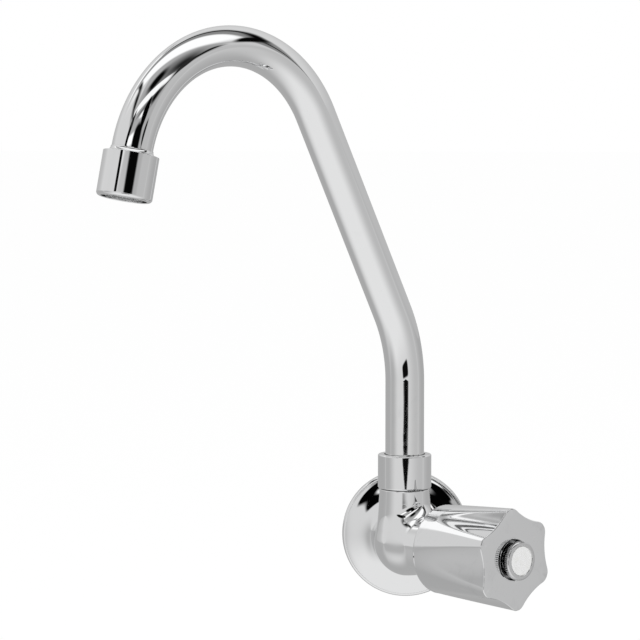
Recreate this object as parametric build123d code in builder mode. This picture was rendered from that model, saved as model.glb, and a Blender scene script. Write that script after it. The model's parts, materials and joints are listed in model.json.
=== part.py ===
from build123d import *
import os

# Wall-mounted swivel faucet with a gooseneck spout and a compression valve.
# Millimetres. The origin is on the wall face, at the centre of the inlet.
# +X runs right along the wall, +Y runs into the wall and +Z runs up.

# ---- Clearances -----------------------------------------------------------------------------
running_clearance = 0.06      # radial, between a shaft and its bore
thread_clearance = 0.07       # radial, between a male thread and its mate
slip_clearance = 0.15         # radial, between pieces that slip over each other
seat_gap = 0.1                # axial, between pieces that seat
same_radius = 0.001           # edges whose radii differ by less are one size

# ---- Layout ---------------------------------------------------------------------------------
swivel_offset = 36.5          # wall face to the axis that the spout turns on
spout_bearing = 45.0          # plan angle of the spout, left of straight out
valve_bearing = 45.0          # plan angle of the valve, right of straight out

# ---- Spout tube -----------------------------------------------------------------------------
tube_diameter = 19.05
tube_wall = 1.0
riser_top = 80.0              # height of the first bend above the inlet axis
lower_bend_radius = 74.5
lean_angle = 27.8             # lean of the long straight run from upright
lean_length = 109.7
arch_radius = 60.9
tip_tilt = 12.7               # how far the outlet points outwards from straight down
tip_insert = 6.0              # length of tube end inside the outlet cup

# ---- Outlet cup and aerator -----------------------------------------------------------------
cup_diameter = 25.8
cup_shoulder_start = 1.4      # end of the bend to the cup's top edge
cup_length = 20.9
cup_neck_fillet = 2.4
cup_edge_round = 1.7
mouth_diameter = 21.4
mouth_depth = 5.6             # free depth below the aerator
cup_socket_lip = 1.4          # thickness of the shoulder that the tube end meets
aerator_washer_thickness = 2.0
aerator_washer_bore = 15.0
aerator_step = 0.3            # radial, from the free mouth down to the aerator's bore
aerator_wall = 1.4
aerator_lead_in = 0.35
screen_thickness = 0.6
diffuser_thickness = 2.2
diffuser_hole = 2.6
diffuser_pitch = 5.2          # centre hole to the ring of holes round it
diffuser_holes = 8

# ---- Body casting ---------------------------------------------------------------------------
leg_top = 27.3                # height of the seam under the cap nut
leg_top_diameter = 24.5
bowl_diameter = 28.0          # widest place, where the leg turns into the bowl
bowl_height = 2.0
bowl_depth = 13.4             # lowest point of the bowl below the inlet axis
bowl_shoulder = (10.9, -7.3)  # radius and height half way round the bowl
casting_edge = 0.7            # chamfer on the casting's machined rims
barrel_diameter = 28.8
barrel_flare = 1.2            # how much wider the barrel is at its open end
barrel_dome_station = 4.0     # where the barrel's rounded back end starts
barrel_mouth = 29.0           # swivel axis to the barrel's open end
crotch_fillet = 4.0
inlet_neck_diameter = 25.0
inlet_neck_end = 7.5          # wall face to the step of the neck
inlet_thread_diameter = 20.955
inlet_thread_reach = 14.0     # length of thread inside the wall
inlet_bore_diameter = 11.0
inlet_bore_end = 24.0
thread_lead_in = 1.0

# ---- Water way and seat ---------------------------------------------------------------------
chamber_diameter = 17.2
chamber_floor = -5.5
seat_diameter = 10.0
seat_height = 1.2
seat_rim = 1.6
transfer_pocket_diameter = 9.0
transfer_pocket_station = -8.0
transfer_bore_diameter = 8.4
transfer_bore_start = (-1.5, -20.0)
outlet_passage_diameter = 10.0
outlet_passage_station = 1.5

# ---- Swivel ---------------------------------------------------------------------------------
neck_thread_diameter = 20.955
neck_length = 9.0
socket_diameter = 15.12
socket_floor = 15.0
bearing_washer_thickness = 0.5
spigot_collar_thickness = 1.3
split_ring_thickness = 1.6
split_ring_groove_diameter = 16.6
split_ring_radial = 2.2
split_ring_gap = 2.0
spigot_lip = 1.0
spigot_bore_diameter = 9.6
spigot_foot_gap = 2.0
spigot_plug_length = 11.0
seal_section = 1.5            # square-cut rings that seal the spigot
seal_groove_width = 2.0
seal_heights = (21.0, 27.5)
cap_nut_diameter = 26.3
cap_nut_height = 16.9
cap_nut_edge = 0.8
cap_nut_hole_diameter = 20.1

# ---- Wall flange ----------------------------------------------------------------------------
flange_diameter = 63.5
flange_rim_depth = 6.6
flange_rim_round = 1.5
flange_shoulder = (25.0, 9.6)   # radius and depth that the dome heads for from the rim
flange_throat = (15.6, 9.8)     # radius and depth that it leaves towards the collar
flange_height = 18.5            # wall face to the foot of the collar's straight part
flange_collar_diameter = 29.4
flange_collar_length = 1.6
flange_collar_lip = 5.0         # length of the bore that slides on the neck
flange_wall = 1.5
wiper_section = 1.4             # square-cut ring that wipes the neck
wiper_groove_width = 1.9

# ---- Valve headwork -------------------------------------------------------------------------
washer_diameter = 14.0
washer_thickness = 3.0
jumper_diameter = 15.4
jumper_plate = 2.4
jumper_rim_depth = 1.4
jumper_stem_diameter = 6.0
jumper_stem_length = 11.5
jumper_pin_diameter = 3.0
jumper_nut_flats = 5.5
jumper_nut_thickness = 2.0
valve_lift = 6.0              # travel from shut to fully open
lift_slack = 0.8              # room left beyond full travel
hex_sides = 6
stem_edge = 0.5               # chamfer on the ends of the spindle and the jumper
drill_point = 1.0             # depth that a blind hole runs past what fills it
spindle_head_diameter = 13.0
spindle_head_length = 14.0
spindle_stem_diameter = 10.0
spline_diameter = 9.0
spline_length = 11.0
spline_teeth = 16
spline_tooth_depth = 0.5
bonnet_thread_diameter = 20.955
bonnet_thread_start = 17.0
bonnet_flats = 24.0
bonnet_hex_length = 7.0
bonnet_sleeve_diameter = 18.0
bonnet_sleeve_length = 9.0
bonnet_gasket_thickness = 1.0
packing_chamber_diameter = 14.4
packing_chamber_floor = 38.0
packing_ring_height = 2.6
packing_ring_count = 2
gland_flats = 21.0
gland_skirt = 7.0
gland_top_thickness = 2.2

# ---- Handle ---------------------------------------------------------------------------------
skirt_station = 27.0          # swivel axis to the handle's back rim
handle_length = 48.3
skirt_diameter = 43.4
handle_front_diameter = 49.8
skirt_round = 1.6
lobes = 6
lobe_phase = 5.7              # turn of the first lobe from upright
scallop_radius = 34.0
scallop_start = 2.0           # back rim to the point where each scallop starts
valley_diameter = 42.2        # across two opposite scallops at the front face
scallop_edge_round = 1.2
front_edge_round = 0.5
handle_wall = 2.6
handle_face_thickness = 3.3
hub_diameter = 24.0
boss_diameter = 16.0
boss_gap = 1.0
handle_web = 3.2
recess_diameter = 19.5
recess_depth = 3.0
recess_edge = 0.3
cap_socket_diameter = 15.2
screw_diameter = 4.0
screw_length = 16.0
screw_head_diameter = 8.0
screw_head_height = 2.4
screw_slot = 1.0
screw_tip = 0.4
screw_head_round = 0.8
screw_washer_thickness = 0.8

# ---- Index cap ------------------------------------------------------------------------------
cap_diameter = 18.8
cap_head_thickness = 2.7
cap_stand_off = 2.0           # handle face to the back of the cap's head
cap_sleeve_gap = 1.7          # floor of the cap's socket to the foot of its sleeve
cap_sleeve_wall = 1.5
cap_rim_round = 0.9
knurl_teeth = 30
knurl_depth = 0.45
knurl_sides = 4               # each groove is cut by the corner of a square
disc_diameter = 14.0
disc_thickness = 0.6

# ---- Radii and stations that follow from the sizes above ------------------------------------
tube_radius = tube_diameter / 2
tube_bore_radius = tube_radius - tube_wall
neck_top = leg_top + neck_length
collar_base = neck_top + bearing_washer_thickness
groove_base = collar_base + spigot_collar_thickness
groove_top = groove_base + split_ring_thickness + seat_gap
tube_foot = groove_top + spigot_lip
cap_nut_base = leg_top + seat_gap
neck_radius = neck_thread_diameter / 2
split_ring_radius = split_ring_groove_diameter / 2 + split_ring_radial

seat_face = chamber_floor + seat_height
washer_face = seat_face + seat_gap
plate_face = washer_face + washer_thickness
plate_back = plate_face + jumper_plate
spindle_foot = plate_back + seat_gap
spindle_shoulder = spindle_foot + spindle_head_length
bonnet_nose_start = plate_back + valve_lift + lift_slack
stem_bore_start = spindle_shoulder + valve_lift + lift_slack
bonnet_hex_start = barrel_mouth + bonnet_gasket_thickness
bonnet_hex_end = bonnet_hex_start + bonnet_hex_length
bonnet_top = bonnet_hex_end + bonnet_sleeve_length
gland_plate = bonnet_top + seat_gap
gland_top = gland_plate + gland_top_thickness
spline_start = gland_top + boss_gap
spindle_end = spline_start + spline_length
web_back = spindle_end + seat_gap
recess_floor = web_back + handle_web
handle_face = skirt_station + handle_length
cavity_end = handle_face - handle_face_thickness
cap_back = handle_face + cap_stand_off
cap_front = cap_back + cap_head_thickness
screw_seat = recess_floor + screw_washer_thickness

cup_top = cup_shoulder_start
cup_mouth = cup_top + cup_length
aerator_end = cup_mouth - mouth_depth
cup_bore_start = tip_insert + cup_socket_lip
aerator_start = cup_bore_start + aerator_washer_thickness
mouth_radius = mouth_diameter / 2
aerator_bore_radius = mouth_radius - aerator_step
aerator_radius = aerator_bore_radius - slip_clearance

# ---- Axes and planes ------------------------------------------------------------------------
swivel_foot = Vector(0, -swivel_offset, 0)
spout_direction = Vector(0, -1, 0).rotate(Axis.Z, -spout_bearing)
valve_direction = Vector(0, -1, 0).rotate(Axis.Z, valve_bearing)
swivel_axis = Axis(swivel_foot, (0, 0, 1))
valve_axis = Axis(swivel_foot, valve_direction)
inlet_axis = Axis((0, 0, 0), (0, -1, 0))

# Profile planes: local x is the radius and local y runs along the axis of revolution.
spout_profile = Plane(swivel_foot, x_dir=spout_direction, z_dir=spout_direction.cross(Vector(0, 0, 1)))
valve_profile = Plane(swivel_foot, x_dir=(0, 0, 1), z_dir=Vector(0, 0, 1).cross(valve_direction))
inlet_profile = Plane((0, 0, 0), x_dir=(1, 0, 0), z_dir=(0, 0, -1))


def swivel_plane(height):
    """Plane across the swivel axis, facing up."""
    return Plane((0, -swivel_offset, height), x_dir=spout_direction, z_dir=(0, 0, 1))


def valve_plane(station):
    """Plane across the valve axis, facing the handle's front."""
    return Plane(swivel_foot + valve_direction * station, x_dir=(0, 0, 1), z_dir=valve_direction)


def inlet_plane(depth):
    """Plane across the inlet axis at a depth in front of the wall, facing the wall."""
    return Plane((0, -depth, 0), x_dir=(1, 0, 0), z_dir=(0, 1, 0))


def finish(piece, name):
    """Label a finished piece and write it to its own file."""
    piece.part.label = name
    export_step(piece.part, f"parts/{name}.step")
    print(f"{name}: {piece.part.volume:.1f} mm3")


def rims(piece, radius):
    """Circular edges of one radius."""
    circles = piece.edges().filter_by(GeomType.CIRCLE)
    return circles.filter_by(lambda edge: abs(edge.radius - radius) < same_radius)


def ring(plane, outer_radius, inner_radius, thickness):
    """Flat ring that stands on a plane."""
    with BuildPart() as piece:
        with BuildSketch(plane):
            Circle(outer_radius)
            Circle(inner_radius, mode=Mode.SUBTRACT)
        extrude(amount=thickness)
    return piece


os.makedirs("parts", exist_ok=True)

# ---- Route of the spout tube ----------------------------------------------------------------
with BuildLine(spout_profile) as spout_route:
    riser = Line((0, tube_foot), (0, riser_top))
    lower_bend = JernArc(riser @ 1, riser % 1, lower_bend_radius, -lean_angle)
    lean = Line(lower_bend @ 1, lower_bend @ 1 + (lower_bend % 1) * lean_length)
    arch = JernArc(lean @ 1, lean % 1, arch_radius, lean_angle + tip_tilt - 180)
    tip = Line(arch @ 1, arch @ 1 + (arch % 1) * tip_insert)

tip_origin = arch @ 1
tip_direction = arch % 1
tip_profile = Plane(tip_origin, x_dir=spout_profile.z_dir, z_dir=spout_profile.z_dir.cross(tip_direction))
tip_axis = Axis(tip_origin, tip_direction)


def tip_plane(distance):
    """Plane across the outlet, facing out of the mouth."""
    return Plane(tip_origin + tip_direction * distance, x_dir=spout_profile.z_dir, z_dir=tip_direction)


with BuildPart() as spout_tube:
    with BuildSketch(swivel_plane(tube_foot)):
        Circle(tube_radius)
        Circle(tube_bore_radius, mode=Mode.SUBTRACT)
    sweep(path=spout_route.wires()[0])
finish(spout_tube, "spout_tube")

# ---- Outlet cup: brazed on the tube end, with a filleted neck and a rounded mouth ------------
with BuildPart() as spout_cup:
    with BuildSketch(tip_profile):
        with BuildLine():
            neck_radius_out = tube_radius + slip_clearance
            shoulder_radius = neck_radius_out + cup_neck_fillet
            neck_curve = RadiusArc(
                (neck_radius_out, cup_top - cup_neck_fillet), (shoulder_radius, cup_top), cup_neck_fillet
            )
            Polyline(
                (shoulder_radius, cup_top),
                (cup_diameter / 2, cup_top),
                (cup_diameter / 2, cup_mouth),
                (mouth_radius, cup_mouth),
                (mouth_radius, aerator_end),
                (aerator_bore_radius, aerator_end),
                (aerator_bore_radius, cup_bore_start),
                (tube_bore_radius, cup_bore_start),
                (tube_bore_radius, tip_insert),
                (tube_radius, tip_insert),
                (tube_radius, cup_top - cup_neck_fillet),
                (neck_radius_out, cup_top - cup_neck_fillet),
            )
        make_face()
    revolve(axis=tip_axis)
    fillet(rims(spout_cup, cup_diameter / 2).sort_by(tip_axis)[-1], cup_edge_round)
finish(spout_cup, "spout_cup")

# ---- Aerator: rubber washer, strainer, plastic sleeve and drilled diffuser -------------------
aerator_washer = ring(
    tip_plane(cup_bore_start), aerator_radius, aerator_washer_bore / 2, aerator_washer_thickness
)
finish(aerator_washer, "aerator_washer")

aerator_screen = ring(tip_plane(aerator_start), aerator_radius, diffuser_hole / 2, screen_thickness)
finish(aerator_screen, "aerator_screen")

with BuildPart() as aerator_sleeve:
    with BuildSketch(tip_plane(aerator_start + screen_thickness)):
        Circle(aerator_radius)
        Circle(aerator_radius - aerator_wall, mode=Mode.SUBTRACT)
    extrude(amount=aerator_end - aerator_start - screen_thickness)
    sleeve_rim = aerator_sleeve.edges().sort_by(tip_axis)[-1]
    chamfer(sleeve_rim, aerator_lead_in)
finish(aerator_sleeve, "aerator_sleeve")

with BuildPart() as aerator_diffuser:
    with BuildSketch(tip_plane(aerator_end - diffuser_thickness - seat_gap)):
        Circle(aerator_radius - aerator_wall - running_clearance)
        Circle(diffuser_hole / 2, mode=Mode.SUBTRACT)
        with PolarLocations(diffuser_pitch, diffuser_holes):
            Circle(diffuser_hole / 2, mode=Mode.SUBTRACT)
    extrude(amount=diffuser_thickness)
finish(aerator_diffuser, "aerator_diffuser")

# ---- Body casting: tapered leg and bowl, valve barrel, inlet neck and spout neck -------------
with BuildPart() as valve_body:
    with BuildSketch(spout_profile):
        with BuildLine():
            leg_side = Line((leg_top_diameter / 2, leg_top), (bowl_diameter / 2, bowl_height))
            bowl = ThreePointArc(leg_side @ 1, bowl_shoulder, (0, -bowl_depth))
            Polyline(bowl @ 1, (0, leg_top), leg_side @ 0)
        make_face()
    revolve(axis=swivel_axis)
    leg_rim = valve_body.edges().sort_by(Axis.Z)[-1]
    chamfer(leg_rim, casting_edge)

    with BuildSketch(valve_profile):
        with BuildLine():
            dome = CenterArc((0, barrel_dome_station), barrel_diameter / 2, -90, 90)
            barrel_side = Line(dome @ 1, ((barrel_diameter + barrel_flare) / 2, barrel_mouth))
            Polyline(barrel_side @ 1, (0, barrel_mouth), dome @ 0)
        make_face()
    revolve(axis=valve_axis)
    crotch = valve_body.edges().filter_by(lambda edge: edge.geom_type == GeomType.BSPLINE)
    fillet(crotch.filter_by(lambda edge: (edge @ 0.5).Z > 0), crotch_fillet)
    barrel_rim = valve_body.edges().filter_by(GeomType.CIRCLE).sort_by(valve_axis)[-1]
    chamfer(barrel_rim, casting_edge)

    # Inlet neck, stepped down to the thread that enters the wall
    with BuildSketch(inlet_plane(swivel_offset)):
        Circle(inlet_neck_diameter / 2)
    extrude(amount=swivel_offset - inlet_neck_end)
    with BuildSketch(inlet_plane(swivel_offset)):
        Circle(inlet_thread_diameter / 2)
    extrude(amount=swivel_offset + inlet_thread_reach)
    inlet_rim = valve_body.edges().filter_by(GeomType.CIRCLE).sort_by(Axis.Y)[-1]
    chamfer(inlet_rim, thread_lead_in)

    # Spout neck, which carries the thread of the cap nut
    with BuildSketch(swivel_plane(socket_floor)):
        Circle(neck_radius)
    extrude(amount=neck_top - socket_floor)
    neck_rim = valve_body.edges().sort_by(Axis.Z)[-1]
    chamfer(neck_rim, casting_edge)

    # Socket for the spout's spigot and the passage below it
    with BuildSketch(swivel_plane(socket_floor)):
        Circle(socket_diameter / 2)
    extrude(amount=neck_top - socket_floor, mode=Mode.SUBTRACT)
    passage_foot = swivel_foot + valve_direction * outlet_passage_station
    with BuildSketch(Plane(passage_foot, z_dir=(0, 0, 1))):
        Circle(outlet_passage_diameter / 2)
    extrude(amount=socket_floor, mode=Mode.SUBTRACT)

    # Valve chamber with its raised seat, and the wider mouth that takes the bonnet
    with BuildSketch(valve_plane(chamber_floor)):
        Circle(chamber_diameter / 2)
    extrude(amount=barrel_mouth - chamber_floor, mode=Mode.SUBTRACT)
    with BuildSketch(valve_plane(chamber_floor)):
        Circle(seat_diameter / 2 + seat_rim)
    extrude(amount=seat_height)
    with BuildSketch(valve_plane(transfer_pocket_station)):
        Circle(seat_diameter / 2)
    extrude(amount=seat_face - transfer_pocket_station, mode=Mode.SUBTRACT)
    with BuildSketch(valve_plane(bonnet_thread_start)):
        Circle(bonnet_thread_diameter / 2 + thread_clearance)
    extrude(amount=barrel_mouth - bonnet_thread_start, mode=Mode.SUBTRACT)

    # Inlet bore, and the slanted way from it to the back of the seat
    with BuildSketch(inlet_plane(inlet_bore_end)):
        Circle(inlet_bore_diameter / 2)
    extrude(amount=inlet_bore_end + inlet_thread_reach, mode=Mode.SUBTRACT)
    pocket_centre = swivel_foot + valve_direction * transfer_pocket_station
    transfer_start = Vector(*transfer_bore_start, 0)
    transfer_route = pocket_centre - transfer_start
    with BuildSketch(Plane(transfer_start, z_dir=transfer_route)):
        Circle(transfer_bore_diameter / 2)
    extrude(amount=transfer_route.length, mode=Mode.SUBTRACT)
    with Locations(Location(pocket_centre)):
        Sphere(transfer_pocket_diameter / 2, mode=Mode.SUBTRACT)
finish(valve_body, "valve_body")

# ---- Cap nut: smooth round nut that holds the spout's split ring ------------------------------
with BuildPart() as cap_nut:
    nut_top = cap_nut_base + cap_nut_height
    shoulder_height = groove_top
    with BuildSketch(spout_profile):
        with BuildLine():
            Polyline(
                (neck_radius + thread_clearance, cap_nut_base),
                (cap_nut_diameter / 2, cap_nut_base),
                (cap_nut_diameter / 2, nut_top),
                (cap_nut_hole_diameter / 2, nut_top),
                (cap_nut_hole_diameter / 2, shoulder_height),
                (split_ring_radius + slip_clearance, shoulder_height),
                (split_ring_radius + slip_clearance, collar_base),
                (neck_radius + thread_clearance, collar_base),
                (neck_radius + thread_clearance, cap_nut_base),
            )
        make_face()
    revolve(axis=swivel_axis)
    fillet(rims(cap_nut, cap_nut_diameter / 2), cap_nut_edge)
finish(cap_nut, "cap_nut")

# ---- Spout spigot: plugged into the tube, sealed by two rings in the body's socket ------------
with BuildPart() as spout_spigot:
    spigot_radius = socket_diameter / 2 - running_clearance
    spigot_foot = socket_floor + spigot_foot_gap
    spigot_steps = (
        (spigot_radius, spigot_foot, collar_base),
        (tube_radius, collar_base, groove_base),
        (split_ring_groove_diameter / 2, groove_base, groove_top),
        (tube_radius, groove_top, tube_foot),
        (tube_bore_radius, tube_foot, tube_foot + spigot_plug_length),
    )
    for step_radius, step_base, step_top in spigot_steps:
        with BuildSketch(swivel_plane(step_base)):
            Circle(step_radius)
        extrude(amount=step_top - step_base)
    for seal_height in seal_heights:
        with BuildSketch(swivel_plane(seal_height - seal_groove_width / 2)):
            Circle(socket_diameter / 2)
            Circle(spigot_radius - seal_section, mode=Mode.SUBTRACT)
        extrude(amount=seal_groove_width, mode=Mode.SUBTRACT)
    with BuildSketch(swivel_plane(spigot_foot)):
        Circle(spigot_bore_diameter / 2)
    extrude(amount=tube_foot + spigot_plug_length - spigot_foot, mode=Mode.SUBTRACT)
finish(spout_spigot, "spout_spigot")

# Split ring, with the gap that lets it spring into the spigot's groove
with BuildPart() as spout_split_ring:
    with BuildSketch(swivel_plane(groove_base + seat_gap / 2)):
        Circle(split_ring_radius)
        Circle(split_ring_groove_diameter / 2 + running_clearance, mode=Mode.SUBTRACT)
        with Locations((split_ring_radius, 0)):
            Rectangle(split_ring_radius, split_ring_gap, mode=Mode.SUBTRACT)
    extrude(amount=split_ring_thickness)
finish(spout_split_ring, "spout_split_ring")

with BuildPart() as spout_seal_rings:
    for seal_height in seal_heights:
        with BuildSketch(swivel_plane(seal_height - seal_section / 2)):
            Circle(spigot_radius)
            Circle(spigot_radius - seal_section + running_clearance, mode=Mode.SUBTRACT)
        extrude(amount=seal_section)
finish(spout_seal_rings, "spout_seal_rings")

bearing_washer = ring(
    swivel_plane(neck_top),
    neck_radius - slip_clearance,
    socket_diameter / 2 + slip_clearance,
    bearing_washer_thickness,
)
finish(bearing_washer, "spout_bearing_washer")

# ---- Wall flange: domed cover that hides the hole in the wall ---------------------------------
flange_radius = flange_diameter / 2
collar_radius = flange_collar_diameter / 2
flange_front = flange_height + flange_collar_length
with BuildPart() as wall_flange:
    with BuildSketch(inlet_profile):
        with BuildLine():
            rim_side = Line((flange_radius, 0), (flange_radius, flange_rim_depth - flange_rim_round))
            rim_curve = JernArc(rim_side @ 1, (0, 1), flange_rim_round, 90)
            collar_foot = (collar_radius, flange_height)
            dome_curve = Bezier(rim_curve @ 1, flange_shoulder, flange_throat, collar_foot)
            Polyline(dome_curve @ 1, (collar_radius, flange_front), (0, flange_front), (0, 0), rim_side @ 0)
        make_face()
    revolve(axis=inlet_axis)
    collar_rim = wall_flange.edges().filter_by(GeomType.CIRCLE).sort_by(Axis.Y)[0]
    fillet(collar_rim, flange_collar_length / 2)

    # Hollow back, one wall thickness inside the dome
    with BuildSketch(inlet_profile):
        with BuildLine():
            hollow_radius = flange_radius - flange_wall
            hollow_side = Line((hollow_radius, 0), (hollow_radius, flange_rim_depth - flange_wall))
            hollow_curve = Bezier(
                hollow_side @ 1,
                (flange_shoulder[0] - flange_wall, flange_shoulder[1] - flange_wall),
                (flange_throat[0] - flange_wall, flange_throat[1] - flange_wall),
                (collar_radius - flange_wall, flange_front - flange_collar_lip),
            )
            Polyline(hollow_curve @ 1, (0, flange_front - flange_collar_lip), (0, 0), hollow_side @ 0)
        make_face()
    revolve(axis=inlet_axis, mode=Mode.SUBTRACT)
    with BuildSketch(inlet_plane(flange_front)):
        Circle(inlet_neck_diameter / 2 + slip_clearance)
    extrude(amount=flange_front, mode=Mode.SUBTRACT)
    wiper_depth = flange_front - flange_collar_lip / 2
    wiper_groove_radius = inlet_neck_diameter / 2 + wiper_section
    with BuildSketch(inlet_plane(wiper_depth + wiper_groove_width / 2)):
        Circle(wiper_groove_radius)
    extrude(amount=wiper_groove_width, mode=Mode.SUBTRACT)
finish(wall_flange, "wall_flange")

flange_seal_ring = ring(
    inlet_plane(wiper_depth + wiper_section / 2),
    wiper_groove_radius - running_clearance,
    inlet_neck_diameter / 2 + running_clearance,
    wiper_section,
)
finish(flange_seal_ring, "flange_seal_ring")

# ---- Bonnet: screwed into the barrel, it carries the spindle and its packing ------------------
bonnet_thread_radius = bonnet_thread_diameter / 2
head_radius = spindle_head_diameter / 2
stem_radius = spindle_stem_diameter / 2
sleeve_radius = bonnet_sleeve_diameter / 2
with BuildPart() as bonnet:
    bonnet_steps = (
        (chamber_diameter / 2 - slip_clearance, bonnet_nose_start, bonnet_thread_start + seat_gap),
        (bonnet_thread_radius, bonnet_thread_start + seat_gap, bonnet_hex_start),
        (sleeve_radius, bonnet_hex_start, bonnet_top),
    )
    for step_radius, step_base, step_top in bonnet_steps:
        with BuildSketch(valve_plane(step_base)):
            Circle(step_radius)
        extrude(amount=step_top - step_base)
    with BuildSketch(valve_plane(bonnet_hex_start)):
        RegularPolygon(bonnet_flats / 2, hex_sides, major_radius=False)
    extrude(amount=bonnet_hex_length)
    bonnet_bores = (
        (head_radius + running_clearance, bonnet_nose_start, stem_bore_start),
        (stem_radius + running_clearance, stem_bore_start, bonnet_top),
        (packing_chamber_diameter / 2, packing_chamber_floor, bonnet_top),
    )
    for bore_radius, bore_base, bore_top in bonnet_bores:
        with BuildSketch(valve_plane(bore_base)):
            Circle(bore_radius)
        extrude(amount=bore_top - bore_base, mode=Mode.SUBTRACT)
finish(bonnet, "bonnet")

bonnet_gasket = ring(
    valve_plane(barrel_mouth),
    bonnet_flats / 2,
    bonnet_thread_radius + slip_clearance,
    bonnet_gasket_thickness,
)
finish(bonnet_gasket, "bonnet_gasket")

# Packing rings in the bonnet's chamber, the follower on them and the gland nut over all
with BuildPart() as packing_rings:
    for ring_number in range(packing_ring_count):
        with BuildSketch(valve_plane(packing_chamber_floor + ring_number * packing_ring_height)):
            Circle(packing_chamber_diameter / 2 - running_clearance)
            Circle(stem_radius + running_clearance, mode=Mode.SUBTRACT)
        extrude(amount=packing_ring_height - seat_gap)
finish(packing_rings, "packing_rings")

follower_base = packing_chamber_floor + packing_ring_count * packing_ring_height
gland_follower = ring(
    valve_plane(follower_base),
    packing_chamber_diameter / 2 - slip_clearance,
    stem_radius + slip_clearance,
    gland_plate - follower_base,
)
finish(gland_follower, "gland_follower")

with BuildPart() as gland_nut:
    with BuildSketch(valve_plane(gland_plate - gland_skirt)):
        RegularPolygon(gland_flats / 2, hex_sides, major_radius=False)
    extrude(amount=gland_top - gland_plate + gland_skirt)
    with BuildSketch(valve_plane(gland_plate - gland_skirt)):
        Circle(sleeve_radius + thread_clearance)
    extrude(amount=gland_skirt, mode=Mode.SUBTRACT)
    with BuildSketch(valve_plane(gland_plate)):
        Circle(stem_radius + slip_clearance)
    extrude(amount=gland_top_thickness, mode=Mode.SUBTRACT)
finish(gland_nut, "gland_nut")


def spline_outline(tip_radius):
    """Closed outline of the spindle's fine V teeth."""
    half_pitch = 180 / spline_teeth
    corners = []
    for corner in range(2 * spline_teeth):
        radius = tip_radius - spline_tooth_depth * (corner % 2)
        corners.append(tuple(Vector(radius, 0).rotate(Axis.Z, corner * half_pitch))[:2])
    return Polyline(*corners, close=True)


# ---- Spindle: threaded head, plain stem and splined end ---------------------------------------
with BuildPart() as spindle:
    with BuildSketch(valve_plane(spindle_foot)):
        Circle(head_radius)
    extrude(amount=spindle_head_length)
    chamfer(spindle.edges().filter_by(GeomType.CIRCLE), stem_edge)
    with BuildSketch(valve_plane(spindle_shoulder)):
        Circle(stem_radius)
    extrude(amount=spline_start - spindle_shoulder)
    with BuildSketch(valve_plane(spline_start)):
        with BuildLine():
            spline_outline(spline_diameter / 2)
        make_face()
    extrude(amount=spline_length)
    with BuildSketch(valve_plane(spindle_foot)):
        Circle(jumper_stem_diameter / 2 + running_clearance)
    extrude(amount=jumper_stem_length + drill_point, mode=Mode.SUBTRACT)
    with BuildSketch(valve_plane(screw_seat - screw_length - drill_point)):
        Circle(screw_diameter / 2 + thread_clearance)
    extrude(amount=spindle_end - screw_seat + screw_length + drill_point, mode=Mode.SUBTRACT)
finish(spindle, "spindle")

# ---- Jumper: plate and stem that carry the seat washer ----------------------------------------
with BuildPart() as jumper:
    with BuildSketch(valve_plane(plate_face)):
        Circle(jumper_diameter / 2)
    extrude(amount=jumper_plate)
    with BuildSketch(valve_plane(plate_face)):
        Circle(jumper_diameter / 2)
        Circle(washer_diameter / 2 + running_clearance, mode=Mode.SUBTRACT)
    extrude(amount=-jumper_rim_depth)
    with BuildSketch(valve_plane(plate_back)):
        Circle(jumper_stem_diameter / 2)
    extrude(amount=jumper_stem_length)
    chamfer(jumper.edges().sort_by(valve_axis)[-1], stem_edge)
    with BuildSketch(valve_plane(plate_face)):
        Circle(jumper_pin_diameter / 2)
    extrude(amount=-washer_thickness - jumper_nut_thickness)
finish(jumper, "jumper")

seat_washer = ring(
    valve_plane(washer_face),
    washer_diameter / 2,
    jumper_pin_diameter / 2 + running_clearance,
    washer_thickness,
)
finish(seat_washer, "seat_washer")

with BuildPart() as jumper_nut:
    with BuildSketch(valve_plane(washer_face - jumper_nut_thickness)):
        RegularPolygon(jumper_nut_flats / 2, hex_sides, major_radius=False)
        Circle(jumper_pin_diameter / 2 + thread_clearance, mode=Mode.SUBTRACT)
    extrude(amount=jumper_nut_thickness)
finish(jumper_nut, "jumper_nut")

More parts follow.
